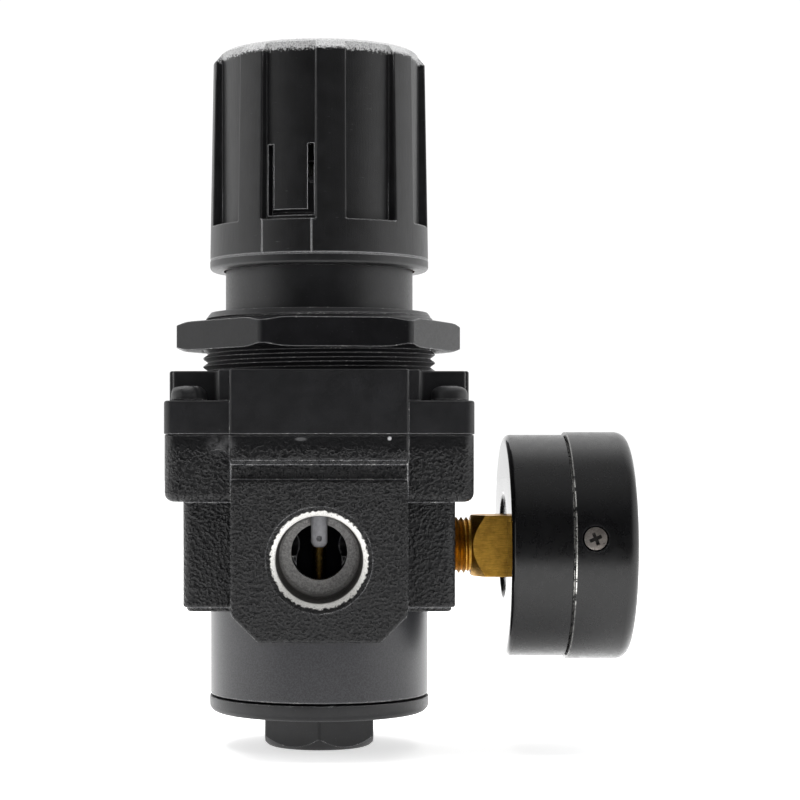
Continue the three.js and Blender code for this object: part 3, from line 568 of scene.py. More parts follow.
def cast_paint():
    """Wrinkled black paint on cast faces, smooth on the turned and upper ones, bare in the ports."""
    m = Finish("cast_paint", BLACK, 0.38, specular=0.45)
    off_axis = m.around(m.x, m.y)
    depth = m.math("ABSOLUTE", m.y)
    textured = m.times(m.span(off_axis, *CYLINDER_EDGE), m.span(m.z, *CASTING_TOP, 1.0, 0.12))
    blobs = m.span(m.noise(1.75, 2.0, 0.5, distortion=0.2), 0.40, 0.64)
    wrinkle = m.plus(blobs, m.times(m.noise(4.5, 2.0, 0.5), 0.2))
    height = m.plus(m.times(wrinkle, textured), m.times(m.noise(9.0, 2.0, 0.6), 0.05))

    ragged = m.span(m.noise(1.6), 0.3, 0.7, -0.18, 0.18)
    in_bore = m.span(m.plus(m.around(m.x, m.z, 0.0, PORT_Z), ragged), *PORT_MOUTH, 1.0, 0.0)
    bare = m.times(in_bore, m.span(depth, 5.0, 6.0))

    paint = m.mix(m.times(m.noise(0.35, 3.0), 0.8), BLACK, (0.004, 0.004, 0.0048))
    cylinder = m.times(m.span(m.z, *CYLINDER_TOP, 1.0, 0.0),
                       m.span(off_axis, *CYLINDER_EDGE, 1.0, 0.0))
    grain = m.span(m.noise(4.0, 3.0, 0.7), 0.35, 0.65)
    paint = m.mix(cylinder, paint, m.mix(grain, (0.013, 0.013, 0.0145), (0.032, 0.032, 0.036)))
    dust = m.span(m.noise(7.0, 2.0, 0.6), 0.70, 0.76)
    edge = m.edges(0.5, 0.02, 0.3)
    chips = m.times(edge, m.span(m.noise(0.9, 4.0, 0.7), 0.5, 0.64))
    # The pale edge colour is a painted highlight where rounded edges catch the light; the chips are
    # paint worn through to metal.
    paint = m.over(paint, (dust, 0.25, WORN), (edge, 0.6, (0.42, 0.42, 0.44)),
                   (chips, 0.8, (0.80, 0.79, 0.77)))
    paint = m.mix(front_flaws(m), paint, (0.55, 0.55, 0.56))

    rough_paint = m.blend(textured, 0.36, m.span(blobs, 0.0, 1.0, 0.40, 0.27))
    rough_metal = m.span(m.noise(3.0), 0.3, 0.7, 0.28, 0.45)
    painted = m.bump(m.times(height, m.math("SUBTRACT", 1.0, bare)), 0.2)
    return m.fed(
        colour=m.mix(bare, paint, port_metal(m, depth)),
        metal=m.times(bare, m.span(depth, 24.5, 26.2, 0.25, 0.8)),
        rough=m.blend(bare, rough_paint, rough_metal),
        normal=m.bump(m.times(bare, m.noise(4.0, 4.0, 0.65)), 0.05, painted))


def satin_paint(name="satin_paint", base=(0.006, 0.006, 0.0067), roughness=0.4, edge_highlight=0.5, specular=0.42):
    """Thin satin paint over a machined or moulded surface, with a painted highlight along its edges and
    chips worn to bright metal.
    """
    m = Finish(name, base, roughness, specular=specular)
    edge = m.edges(0.35, 0.02, 0.3)
    grain = m.noise(3.4, 3.0, 0.6)
    speck = m.span(m.noise(5.0, 2.0, 0.6), 0.71, 0.77)
    chips = m.times(edge, m.span(m.noise(1.3, 4.0, 0.7), 0.54, 0.66))
    paint = m.mix(m.span(m.noise(0.25, 4.0, 0.6), 0.3, 0.7), base, [1.7 * c for c in base])
    return m.fed(
        # The pale edge colour is a painted highlight; the chips are paint worn through.
        colour=m.over(paint, (edge, edge_highlight, (0.45, 0.45, 0.46)), (chips, 0.85, (0.85, 0.84, 0.82)),
                      (speck, 0.3, WORN)),
        rough=m.span(grain, 0.3, 0.7, roughness - 0.05, roughness + 0.07),
        normal=m.bump(m.plus(m.times(grain, 0.7), m.times(m.noise(11.0, 2.0), 0.3)), 0.03))


def black_plastic():
    """Moulded black plastic with scuffs, a painted highlight along its edges and grey speckle from the
    knob's shoulder up as a painted highlight.
    """
    base = (0.0040, 0.0040, 0.0044)
    m = Finish("black_plastic", base, 0.42)
    edge = m.edges(0.3, 0.02, 0.3)
    drawn = m.noise(1.0, 3.0, 0.6, m.stretched(4.0, 4.0, 0.25))
    ragged = m.span(m.noise(2.6, 4.0, 0.75), 0.3, 0.7, -0.5, 0.5)
    shoulder = m.span(m.plus(m.z, ragged), *KNOB_SHOULDER_HIGHLIGHT)
    speckle = m.span(m.noise(4.5, 3.0, 0.7), 0.38, 0.56)
    scuffs = m.span(m.noise(0.8, 5.0, 0.7, m.stretched(0.6, 0.6, 5.0, (0, 9, 0))), 0.66, 0.74)
    plastic = m.mix(m.span(m.noise(0.3, 4.0), 0.3, 0.7), base, [1.8 * c for c in base])
    # The pale edge colour is a painted highlight; the scuffs are real wear.
    plastic = m.over(plastic, (edge, m.span(drawn, 0.2, 0.75, 0.6, 1.0), (0.62, 0.62, 0.63)),
                     (scuffs, 0.25, WORN))
    # The grey speckle on the upward-facing shoulder is a painted highlight.
    grey = m.mix(speckle, (0.24, 0.24, 0.245), (0.50, 0.50, 0.50))
    return m.fed(
        colour=m.mix(shoulder, plastic, grey),
        rough=m.blend(shoulder, m.span(drawn, 0.3, 0.7, 0.38, 0.47), 0.7),
        normal=m.bump(m.plus(m.times(drawn, 0.5), m.noise(7.0, 3.0)), 0.03))


def worn_seam(m):
    """Where the gauge's case meets its ring: a thin broken line, fainter towards top and bottom."""
    line = m.times(m.span(m.x, *SEAM_START), m.span(m.x, *SEAM_END, 1.0, 0.0))
    breaks = m.span(m.noise(0.7, 4.0, 0.7, m.stretched(0.3, 1.0, 1.0)), 0.40, 0.5)
    off_middle = m.math("ABSOLUTE", m.math("SUBTRACT", m.z, 37.0))
    return m.times(line, breaks, m.span(off_middle, 7.0, 12.0, 1.0, 0.15))


def black_steel():
    """Glossy black lacquer on the gauge's pressed case, worn to bright metal along its seam."""
    base = (0.0014, 0.0014, 0.0016)
    m = Finish("black_steel", base, 0.3, specular=0.42)
    turned_marks = m.noise(1.0, 3.0, 0.6, m.stretched(6.0, 0.3, 0.3))
    edge = m.edges(0.4, 0.03, 0.35)
    hairs = m.span(m.noise(0.9, 6.0, 0.75, m.stretched(0.35, 2.5, 2.5, (20, 35, 0))), 0.74, 0.77)
    dust = m.span(m.noise(6.0, 2.0, 0.6), 0.735, 0.77)
    lacquer = m.mix(m.span(m.noise(0.2, 3.0), 0.3, 0.7), base, (0.0024, 0.0024, 0.0028))
    # The paler edge colour is a painted highlight; the hairline marks and dust are real.
    lacquer = m.over(lacquer, (edge, 0.3, (0.10, 0.10, 0.105)),
                     (m.any_of(hairs, dust), 0.3, (0.12, 0.12, 0.125)))
    seam = worn_seam(m)
    back = m.span(m.x, *GAUGE_BACK, 1.0, 0.0)
    return m.fed(
        colour=m.mix(seam, lacquer, BARE),
        metal=seam,
        rough=m.blend(back, m.span(m.noise(0.6, 4.0, 0.65), 0.3, 0.7, 0.25, 0.33), 0.1),
        normal=m.bump(m.plus(turned_marks, m.times(m.noise(1.2), 0.3)), 0.004))


def bright_metal(name, base, roughness, tarnish, marks=(1.0, 1.0, 1.0), turn=(0, 0, 0), depth=0.02,
                 near_black_within=0.0):
    """Bare metal with machining marks that run one way, darker in patches and with a painted highlight
    on its edges.

    Nearer to the gauge's axis than its last argument, it turns a flat near-black that is not metal.
    """
    m = Finish(name, base, roughness, metallic=1.0)
    lines = m.noise(1.6, 4.0, 0.65, m.stretched(*marks, turn=turn))
    patches = m.span(m.noise(0.4, 5.0, 0.65), 0.38, 0.68)
    edge = m.edges(0.2, 0.03, 0.3)
    # The last layer, paler on the edges, is a painted highlight.
    tone = m.over(base, (patches, 0.75, tarnish),
                  (m.span(lines, 0.5, 0.62), 0.35, [0.45 * c for c in tarnish]),
                  (edge, 0.5, [min(1.0, 1.25 * c + 0.05) for c in base]))
    if near_black_within:
        from_gauge = m.around(m.y, m.z, 0.0, GAUGE_Z)
        near_black = m.span(from_gauge, near_black_within - 0.12, near_black_within, 1.0, 0.0)
        tone = m.mix(near_black, tone, (0.012, 0.011, 0.010))
        m.fed(metal=m.math("SUBTRACT", 1.0, near_black))
    return m.fed(colour=tone, rough=m.span(lines, 0.3, 0.7, roughness - 0.08, roughness + 0.12),
                 normal=m.bump(lines, depth))


def plain(name, base, other, rough, scales, relief, specular=0.5, most=0.7):
    """Two close tones in soft patches, with an uneven roughness and a faint grain.

    scales are the patches', the roughness's and the grain's, to the millimetre.
    """
    m = Finish(name, base, sum(rough) / 2, specular=specular)
    patches, uneven, grain = scales
    return m.fed(
        colour=m.mix(m.span(m.noise(patches, 4.0), 0.3, most), base, other),
        rough=m.span(m.noise(uneven), 0.3, 0.7, *rough),
        normal=m.bump(m.noise(grain), relief))


def moulded(name, base):
    """Plain moulded plastic."""
    return plain(name, base, [0.8 * c for c in base], (0.39, 0.53), (1.0, 4.0, 8.0), 0.015)


def lens_clear():
    m = Finish("clear", (0.98, 0.99, 0.99), 0.02)
    m.shader.inputs["Transmission Weight"].default_value = 1.0
    m.shader.inputs["IOR"].default_value = 1.49
    return m.fed(rough=m.span(m.noise(0.4, 4.0), 0.35, 0.75, 0.01, 0.06))


def ink():
    m = Finish("ink", (0.012, 0.012, 0.014), 0.5)
    return m.fed(rough=m.span(m.noise(3.0), 0.3, 0.7, 0.42, 0.56))


BRASS_TONE = (0.62, 0.40, 0.11)
BRASS_TARNISH = (0.36, 0.19, 0.03)
CAST = cast_paint()
SATIN = satin_paint()
NUT_PAINT = satin_paint("nut_paint", (0.0036, 0.0036, 0.0042), 0.38, 0.6, 0.22)
PLASTIC = black_plastic()
LACQUER = black_steel()
SCREW_BLACK = satin_paint("screw_black", (0.008, 0.008, 0.0085), 0.42, 0.7)
STEEL = bright_metal("steel", (0.62, 0.61, 0.59), 0.32, (0.36, 0.35, 0.33), (6.0, 6.0, 0.6))
SCREW_STEEL = bright_metal("screw_steel", (0.50, 0.47, 0.44), 0.38, (0.25, 0.23, 0.21), (3.0, 3.0, 3.0))
RING_STEEL = bright_metal("ring_steel", (0.62, 0.57, 0.53), 0.34, (0.34, 0.30, 0.27), (3.0, 3.0, 3.0),
                          near_black_within=20.22)
BRASS = bright_metal("brass", BRASS_TONE, 0.3, BRASS_TARNISH, (5.0, 5.0, 0.5))
FILED_BRASS = bright_metal("filed_brass", (0.66, 0.37, 0.06), 0.36, BRASS_TARNISH,
                           (0.35, 1.0, 6.0), (0, -38, 0), 0.05)
RUBBER = plain("rubber", (0.012, 0.012, 0.012), (0.03, 0.03, 0.031), (0.6, 0.8), (1.2, 3.0, 6.0), 0.02,
               specular=0.35)
GREY = moulded("grey_plastic", (0.40, 0.40, 0.42))
ORANGE = moulded("orange_plastic", (0.72, 0.13, 0.02))
ENAMEL = plain("dial_white", (0.82, 0.815, 0.79), (0.76, 0.75, 0.71), (0.4, 0.52), (0.25, 2.0, 5.0),
               0.008, most=0.75)
CLEAR = lens_clear()
INK = ink()

# ---------------------------------------------------------------- body casting

BODY_BOTTOM, BODY_TOP = 9.4, 55.9
BLOCK_BOTTOM, LOBE_BOTTOM, STRIP_BOTTOM = 25.6, 44.4, 51.5
PORT_FACE = 26.9
SCREW_PLACES = [(-22.3, -22.0), (22.3, -22.0), (22.3, 22.0), (-22.3, 22.0)]


def port_block():
    """The chamfered block that carries both ports, drawn along Y, with its front edges rounded."""
    low, high, half, chamfer = 20.6 - PORT_Z, 48.2 - PORT_Z, 15.0, 4.55
    outline = [(half, high), (-half, high), (-half, low + chamfer), (chamfer - half, low),
               (half - chamfer, low), (half, low + chamfer)]
    edge = 0.55
    rounded = prism(fillet(outline, [0.5, 0.5, 1.2, 0.7, 0.7, 1.2]), -PORT_FACE, PORT_FACE, edge, edge)
    rounded.transform(Matrix.Translation((0, 0, PORT_Z)) @ Matrix.Rotation(math.pi / 2, 4, "X"))
    return rounded


def port_cutter(side, shoulder):
    """What a port's drill, tap and countersink take out, from the face inwards."""
    depth = PORT_FACE - abs(shoulder)
    profile = [(0, -1), (9.7, -1), (9.15, -0.05), (8.75, 0.28), (8.3, 0.62), (7.5, 1.25)]
    pitch = 1.337
    for k in range(8):
        start = 1.5 + pitch * k
        profile += [(7.42, start), (7.42, start + 0.2), (7.72, start + 0.62), (7.72, start + 0.74)]
    profile += [(7.4, 12.4), (7.05, 12.9), (7.05, depth - 0.4), (6.65, depth), (0, depth)]
    return laid(turned(profile, 72), (0, -side, 0), (0, side * PORT_FACE, PORT_Z))


def gauge_port(side):
    outer = laid(rod(5.4, 0, 12.3, 40), (side, 0, 0), (12 * side, 0, GAUGE_Z))
    inner = laid(rod(2, 0, 9.5, 24), (side, 0, 0), (3 * side, 0, GAUGE_Z))
    return [outer, inner]


def body_casting():
    lobes = prism(rectangle(26.4, 25.3, 2.2), LOBE_BOTTOM, BODY_TOP, 1.5, 0.25)
    strip = prism(rectangle(15.15, 26.6, 0.55), STRIP_BOTTOM, BODY_TOP - 0.02, 0.5, 0.25)
    lip = prism(rectangle(15.1, 26.25, 0.45), STRIP_BOTTOM - 0.65, BODY_TOP - 1, 0.4)
    groove_wall = block(-15.05, 15.05, -25.75, 25.75, 46.5, 53.5)
    middle = prism(rectangle(23.3, 23.3, 1.6), BLOCK_BOTTOM + 0.75, LOBE_BOTTOM + 3, 0.35)
    rim = prism(rectangle(22.7, 22.7, 1.6), BLOCK_BOTTOM, 40, 0.45)
    lower = turned([(0, BODY_BOTTOM), (19.3, BODY_BOTTOM), (19.52, BODY_BOTTOM + 0.08),
                    (19.6, BODY_BOTTOM + 0.3), (19.6, 28), (0, 28)], 128)
    blank = join(lobes, strip, lip, groove_wall, middle, rim, lower, port_block())
    holes = [moved(rod(2.2, 45.7, BODY_TOP + 1, 24), x, y) for x, y in SCREW_PLACES]
    passage = turned([(0, 0), (5, 0), (5, 8.3), (5.5, 8.8), (5.5, 9), (0, 9)], 48)
    return cut(
        blank,
        rod(15.1, BODY_BOTTOM - 1, 24),
        rod(7.3, 23, 29),
        rod(4.1, 28, 40.6, 48),
        rod(1.6, 39.6, 47.5, 24),
        turned([(0, 46.5), (18.4, 46.5), (18.4, 54.7), (22.3, 54.7), (22.3, 57), (0, 57)]),
        port_cutter(-1, -7.8),
        port_cutter(1, 8),
        laid(passage, (0, -1, 0), (0, 0, 35.1)),
        moved(rod(3.3, 23, PORT_Z, 32), 0, 11.6),
        moved(rod(1.75, 38.6, 47.5, 24), 0, -9.6),
        *gauge_port(1),
        *gauge_port(-1),
        *holes,
    )


piece("body_casting", body_casting(), "casing", CAST, "body")

# ---------------------------------------------------------------- bottom cap


def bottom_cap():
    boss = common(
        prism(fillet(hexagon(19.4), 0.7, 5), 0, 7.5),
        turned([(0, -1), (8.3, -1), (8.9, 0), (9.3, 0.18), (9.75, 0.6), (10.3, 1.2),
                (11.5, 2.6), (11.5, 8), (0, 8)], 96))
    plug = turned([
        (0, 6.2), (18.2, 6.2), (18.7, 6.27), (19.2, 6.5), (19.6, 6.95), (19.78, 7.4), (19.8, 8.8),
        (19.72, 9.02), (19.5, 9.1), (14.8, 9.1), (14.8, 10.3), (13.05, 10.3), (13.05, 12.2),
        (14.8, 12.2), (14.8, 12.8), (14.6, 13), (0, 13)], 128)
    pocket = cut(rod(6.4, 4, 14), rod(3.2, 3, 11.8))
    return cut(join(boss, plug), pocket, rod(2.2, 3.5, 13, 32))


piece("cap", bottom_cap(), "casing", SATIN, "bottom_cap")

# ---------------------------------------------------------------- bonnet

FLANGE_BOTTOM, PAD_TOP, FLANGE_TOP = 55.94, 61.65, 67.0
NECK_STEP, NECK_TOP = 90.7, 101.0


def cross_arms(half, reach_x, reach_y, top):
    """One of the two crosses that make the flange's raised middle, with rounded corners."""
    quarter = [(reach_x, half), (half, half), (half, reach_y)]
    points = []
    for sx, sy, order in ((1, 1, 1), (-1, 1, -1), (-1, -1, 1), (1, -1, -1)):
        points += [(sx * x, sy * y) for x, y in quarter[::order]]
    return prism(fillet(points, [0.45, 1.2, 0.45] * 4), FLANGE_BOTTOM, top, 0.12, 0.4)


def bonnet():
    flange = prism(rectangle(26.4, 26.4, 1.6), FLANGE_BOTTOM, PAD_TOP, 0.15, 0.45)
    proud = cross_arms(15.15, 26.1, 27.2, FLANGE_TOP)
    step = cross_arms(17.2, 25.4, 25.4, FLANGE_TOP - 0.05)
    thread = threaded(21.0, 20.1, 1.5, PAD_TOP - 1, 77.9, 144, 8, 1.4)
    neck_profile = [
        (0, 76), (16.9, 76), (16.9, 85.6), (16.15, 85.6), (16.15, 88.6), (16.9, 88.6),
        (16.9, NECK_STEP), (15.9, NECK_STEP), (15.9, 94.6), (15.15, 94.6), (15.15, 100), (15.9, 100),
        (15.9, NECK_TOP), (0, NECK_TOP)]
    neck_radii = [0, 0, 0.2, 0.1, 0.1, 0.2, 0.3, 0.2, 0.2, 0.1, 0.1, 0.2, 0.4, 0]
    neck = turned(fillet(neck_profile, neck_radii, 3), 96)
    inside = turned([(0, 55), (18.4, 55), (18.4, 69), (14.4, 73), (14.4, 96.8), (0, 96.8)], 72)
    key = common(block(-15.3, 15.3, -2.4, 2.4, 72, 94.2), rod(15.3, 72, 94.2))
    holes = [moved(rod(2.3, 55, PAD_TOP + 1, 24), x, y) for x, y in SCREW_PLACES]
    return cut(join(step, proud, flange, thread, neck), inside, key, rod(5, 95, 102, 48), *holes)


piece("bonnet_casting", bonnet(), "casing", SATIN, "bonnet")

# ---------------------------------------------------------------- screws


def cross_recess(arm, slot, narrow, floor, top):
    """The two crossed, tapered slots that a driver fits.

    Their floors and tops are a hair apart, so that no two faces lie in one plane.
    """
    slots = []
    for lift in (-0.1, 0.02):
        taper = turned([(0, floor), (narrow, floor), (arm, top + 0.1), (0, top + 0.1)], 24)
        slots.append(common(block(-arm, arm, -slot, slot, floor + lift, top + lift / 2), taper))
    return slots[0], moved(slots[1], turn=90)


def cross_screw(head, height, shank, length, thread_pitch=0.7):
    """A pan-head screw with a cross recess, its head resting on z = 0 and its threaded shank below."""
    dome = turned([(0, -0.5), (shank * 0.7, -0.5), (shank * 0.7, 0), (head - 0.15, 0), (head, 0.12),
                   (head, height * 0.42), (head * 0.97, height * 0.6), (head * 0.88, height * 0.78),
                   (head * 0.7, height * 0.92), (head * 0.4, height), (0, height)], 48)
    body = threaded(shank, shank * 0.82, thread_pitch, -length, 0.1, 32, 6)
    recess = cross_recess(head * 0.56, head * 0.13, head * 0.21, height * 0.4, height + 0.3)
    return cut(join(dome, body), *recess)


def chewed(mesh, seed, size):
    """The mesh with its upper part dented, as a driver leaves a painted screw."""
    for vertex in mesh.vertices:
        if vertex.co.z > 0.3:
            wave = Vector((math.sin(3.1 * vertex.co.x + seed), math.sin(2.7 * vertex.co.y + 2 * seed),
                           math.sin(2.3 * (vertex.co.x - vertex.co.y) + 3 * seed)))
            vertex.co += size * Vector((wave.x, wave.y, min(0.0, wave.z)))
    return mesh


for number, (x, y) in enumerate(SCREW_PLACES, 1):
    screw = cross_screw(3.15, 2.45, 1.9, 13.4)
    if number == 1:
        screw = chewed(screw, 1.3, 0.16)
    piece(f"flange_screw_{number}", moved(screw, x, y, PAD_TOP + 0.1, 25 + 50 * number), "casing",
          SCREW_BLACK, f"bonnet_screw_{number}")

# ---------------------------------------------------------------- panel nut

NUT_BOTTOM, NUT_TOP = 71.0, 76.1
NUT_FLATS, NUT_TURN = 45.4, 37.5


def both_ends(profile):
    """A profile of the nut's lower end, in heights above it, and the same mirrored at its upper end."""
    low = [(r, NUT_BOTTOM + h) for r, h in profile]
    high = [(r, NUT_TOP - h) for r, h in profile]
    return low + high[::-1]


def panel_nut():
    """A thin hexagon nut with its corners turned off, drawn a shade low so that it clears its thread."""
    outside = [(0, 0), (23.9, 0), (24.6, 0.08), (25.8, 0.55)]
    inside = [(0, -1), (22.3, -1), (21.3, 0.5)]
    blank = common(
        prism(fillet(hexagon(NUT_FLATS, NUT_TURN), 0.35, 3), NUT_BOTTOM, NUT_TOP),
        turned(both_ends(outside), 192))
    return cut(blank, turned(both_ends(inside), 144))


piece("locking_nut", panel_nut(), "panel_nut", NUT_PAINT, "panel_nut")

# ---------------------------------------------------------------- knob

KNOB_BOTTOM, BAND_TOP, RIB_TOP = 85.4, 93.3, 122.8
RIBS, RIB_WIDTH, RIB_OFFSET = 8, 16.0, 6.1
RIB_PITCH = 360 / RIBS
TONGUE = RIB_OFFSET - RIB_PITCH / 2
POCKET_R = 17.8
KNOB_LOW_R, KNOB_HIGH_R = 19.75, 19.1


def rib_radius(z):
    share = (z - KNOB_BOTTOM) / (RIB_TOP - KNOB_BOTTOM)
    return KNOB_LOW_R + (KNOB_HIGH_R - KNOB_LOW_R) * min(1.0, share)


def knob_section():
    """(angle, height above the pocket's floor from 0 to 1) of each point round the knob."""
    reference = rib_radius(108)
    half, gap = RIB_WIDTH / 2, RIB_PITCH - RIB_WIDTH
    outline, rounding = [], []
    for k in range(RIBS):
        rib = RIB_OFFSET + RIB_PITCH * k
        outline += [polar(POCKET_R, rib - half)]
        outline += [polar(reference, rib - half + RIB_WIDTH * i / 8) for i in range(9)]
        outline += [polar(POCKET_R, rib + half + gap * i / 12) for i in range(12)]
        rounding += [0.25, 0.32] + [0] * 7 + [0.32, 0.25] + [0] * 11
    section = []
    for x, y in fillet(outline, rounding, 3):
        lift = (math.hypot(x, y) - POCKET_R) / (reference - POCKET_R)
        section.append((math.atan2(x, -y), min(1.0, max(0.0, lift))))
    return section


def knob_shell():
    section = knob_section()
    band = [(KNOB_BOTTOM, 19.0), (KNOB_BOTTOM + 0.12, 19.35), (KNOB_BOTTOM + 0.4, 19.62),
            (KNOB_BOTTOM + 0.75, 19.72), (87.2, 19.72), (87.26, 19.6), (87.44, 19.6), (87.5, 19.7),
            (BAND_TOP - 0.14, rib_radius(BAND_TOP)), (BAND_TOP, None)]
    shoulder = [(122.55, 19.2), (122.72, 19.1), (122.86, 18.98), (123.05, 18.8), (123.4, 18.5),
                (123.8, 18.15), (124.15, 17.85), (124.45, 17.5), (124.68, 17.05), (124.8, 16.5)]
    levels = [(z, r, True) for z, r in band]
    levels += [(z, None, False) for z in (BAND_TOP + 0.06, 98.0, 103.0, 108.0, 113.0, 118.0, 121.5)]
    levels += [(z, r, False) for z, r in shoulder]

    def ring_at(z, limit, on_band):
        ring = []
        for angle, lift in section:
            r = rib_radius(z)
            if on_band and limit is None:
                r -= 0.14 * (1 - lift)
            elif on_band:
                r = limit
            else:
                r = POCKET_R + lift * (r - POCKET_R)
                r = r if limit is None else min(r, limit)
            ring.append((r * math.sin(angle), -r * math.cos(angle), z))
        return ring

    def build(bm):
        skin(bm, [ring_at(*level) for level in levels])
    return mesh_of(build)


def knob():
    inside = turned([(0, 84), (17.3, 84), (17.3, 91), (16.3, 91), (16.3, 121.4), (0, 121.4)], 96)
    hub = cut(inside, rod(8.6, 104.4, 122))
    socket = prism(hexagon(9.2), 104, 118)
    slot = math.degrees(1 / 16.3)
    side = (20 + slot) / 2
    slots, barbs = [], []
    for middle in (TONGUE, TONGUE + 180):
        slots.append(wedge(middle - side, slot, 15.3, 22, 94, 106.4))
        slots.append(wedge(middle + side, slot, 15.3, 22, 94, 106.4))
        slots.append(wedge(middle, 20 + slot, 15.3, 22, 94, 95))
        barbs.append(wedge(middle, 16, 15.45, 16.9, 95.1, 96.4))
    lines = [wedge(TONGUE + a, 0.5, 19.52, 22, 87.4, 93.4, steps=2) for a in (-14.0, 12.5)]
    return join(cut(knob_shell(), hub, socket, *slots, *lines), *barbs)


piece("grip", knob(), "knob", PLASTIC, "knob")
ring_profile = fillet([(16.45, 85.9), (17.05, 85.9), (17.05, 88.3), (16.45, 88.3)], 0.12, 3)
piece("colour_ring", turned(ring_profile, 96), "casing", ORANGE, "indicator_ring")

# ---------------------------------------------------------------- pressure gauge

CASE_BACK, CASE_R, BEZEL_BACK, BEZEL_FRONT, BEZEL_R = 33.3, 19.95, 44.2, 55.3, 20.45
BEZEL_SCREW_X = 47.6
SCREW_ANGLES = [-84.4 + 120 * k for k in range(3)]


def gauge_socket():
    thread = threaded(5.1, 4.5, 0.907, 13, 26.9, 64, 8)
    neck = turned([(0, 26), (4.6, 26), (4.6, 27.6), (0, 27.6)], 64)
    square = common(
        prism(rectangle(5.5, 5.5, 0.25, 3), 27.3, CASE_BACK + 0.4, 0.1),
        turned([(0, 27.2), (5.2, 27.2), (5.55, 27.55), (9.5, 31.5), (9.5, 35), (0, 35)], 96))
    stub = rod(4.7, 33, 35.4)
    foot = block(-4.5, 17, -3.4, 3.4, 35, 40.7, 0.3)
    feed = laid(rod(0.9, 0, 20, 24), (1, 0, 0), (0, 0, 38))
    mouth = turned([(0, 12), (2.1, 12), (1.4, 13.4), (1.4, 38), (0, 38)], 32)
    return on_gauge(cut(join(thread, neck, square, stub, foot), mouth, feed))


def radial(mesh, angle):
    """The mesh laid outwards from the gauge's axis, where a ring screw goes."""
    return laid(mesh, (*clock(1, angle), 0), (0, 0, BEZEL_SCREW_X))


def radial_tools(profile):
    return [radial(turned(profile, 32), angle) for angle in SCREW_ANGLES]


def gauge_case():
    profile = [
        (5, 33.9), (9, 33.9), (9.25, 33.75), (9.4, 33.45), (9.65, 33.3), (18.7, 33.3), (19.1, 33.34),
        (19.45, 33.47), (19.72, 33.7), (19.88, 34.0), (CASE_R, 34.4), (CASE_R, 43.8),
        (19.85, 43.9), (19.05, 43.9), (19.05, 51.2), (18.35, 51.2), (18.35, 43.2), (19.25, 43.0),
        (19.25, 35.1), (19.1, 34.6), (18.7, 34.3), (18.2, 34.2), (9.6, 34.2), (9.2, 34.8), (5, 34.8)]
    shell = turned(profile, 192)
    holes = radial_tools([(0, 15), (1.2, 15), (2.6, 20.75), (0, 20.75)])
    return on_gauge(cut(shell, *holes))


def gauge_bezel():
    profile = [
        (19.65, BEZEL_BACK), (20.3, BEZEL_BACK), (20.42, 44.27), (BEZEL_R, 44.42), (BEZEL_R, 53.2),
        (20.38, 53.7), (20.2, 54.2), (19.85, 54.7), (19.4, 55.05), (18.9, 55.25),
        (18.5, BEZEL_FRONT), (17.95, BEZEL_FRONT), (17.8, 55.15), (17.8, 54.75), (17.95, 54.6),
        (18.6, 54.6), (19.3, 54.1), (19.65, 53.1)]
    shell = turned(profile, 192)
    holes = radial_tools([(0, 19), (1.2, 19.2), (2.3, 20.3), (2.45, 20.7), (0, 20.7)])
    return on_gauge(cut(shell, *holes))


def bezel_screw(angle):
    head = turned([(0, 18.4), (0.7, 18.4), (0.7, 19.3), (1.95, 20.15), (2.0, 20.22), (1.95, 20.32),
                   (1.4, 20.4), (0.8, 20.43), (0, 20.44)], 40)
    recess = cross_recess(1.4, 0.32, 0.8, 19.6, 20.6)
    return on_gauge(radial(moved(cut(head, *recess), turn=17), angle))


piece("inlet_socket", gauge_socket(), "casing", FILED_BRASS, "gauge_socket")
piece("case_cup", gauge_case(), "casing", LACQUER, "gauge_case", crease=40)
piece("case_ring", gauge_bezel(), "casing", LACQUER, "gauge_bezel", crease=40)
for number, angle in enumerate(SCREW_ANGLES, 1):
    piece(f"ring_screw_{number}", bezel_screw(angle), "casing", RING_STEEL, f"bezel_screw_{number}")

lens = turned([(0, 52.8), (18.2, 52.8), (18.4, 53), (18.4, 54.1), (18.2, 54.3), (0, 54.3)], 128)
piece("window", on_gauge(lens), "casing", CLEAR, "gauge_lens")

# ---------------------------------------------------------------- dial and pointer

DIAL_FACE = 48.7
ZERO_CLOCK, DIAL_SWEEP = -135.0, 270.0
PSI_TOP, PSI_IN_A_MPA = 160, 145.04
DIAL_SCREWS = [clock(3.2, 0), clock(12, 197)]


def dial_angle(psi):
    return ZERO_CLOCK + DIAL_SWEEP * psi / PSI_TOP


def tick(psi, inner, outer, width):
    """A thin printed bar across the scale at one pressure."""
    bar = block(-outer, -inner, -width / 2, width / 2, DIAL_FACE - 0.02, DIAL_FACE + 0.012)
    return moved(bar, turn=-dial_angle(psi))


def band(inner, outer):
    """A thin printed arc along the whole scale."""
    steps = 120
    angles = [dial_angle(PSI_TOP * i / steps) for i in range(steps + 1)]
    outline = [clock(outer, a) for a in angles] + [clock(inner, a) for a in reversed(angles)]
    return prism(outline[::-1], DIAL_FACE - 0.02, DIAL_FACE + 0.012)


def lettering(text, size, place):
    """Printed characters, upright on the dial and centred on a place of the gauge's own plane."""
    curve = bpy.data.curves.new("text", "FONT")
    curve.body = text
    curve.size = size
    curve.align_x = "CENTER"
    curve.align_y = "CENTER"
    curve.extrude = 0.012
    curve.offset = 0.01 * size
    written = bpy.data.objects.new("text", curve)
    bpy.context.scene.collection.objects.link(written)
    graph = bpy.context.evaluated_depsgraph_get()
    mesh = bpy.data.meshes.new_from_object(written.evaluated_get(graph), depsgraph=graph)
    bpy.data.objects.remove(written)
    return moved(mesh, place[0], place[1], DIAL_FACE, 90)


def merged(meshes):
    """Several meshes as the separate islands of one."""
    bm = bmesh.new()
    for mesh in meshes:
        bm.from_mesh(mesh)
        bpy.data.meshes.remove(mesh)
    whole = bpy.data.meshes.new("merged")
    bm.to_mesh(whole)
    bm.free()
    return whole


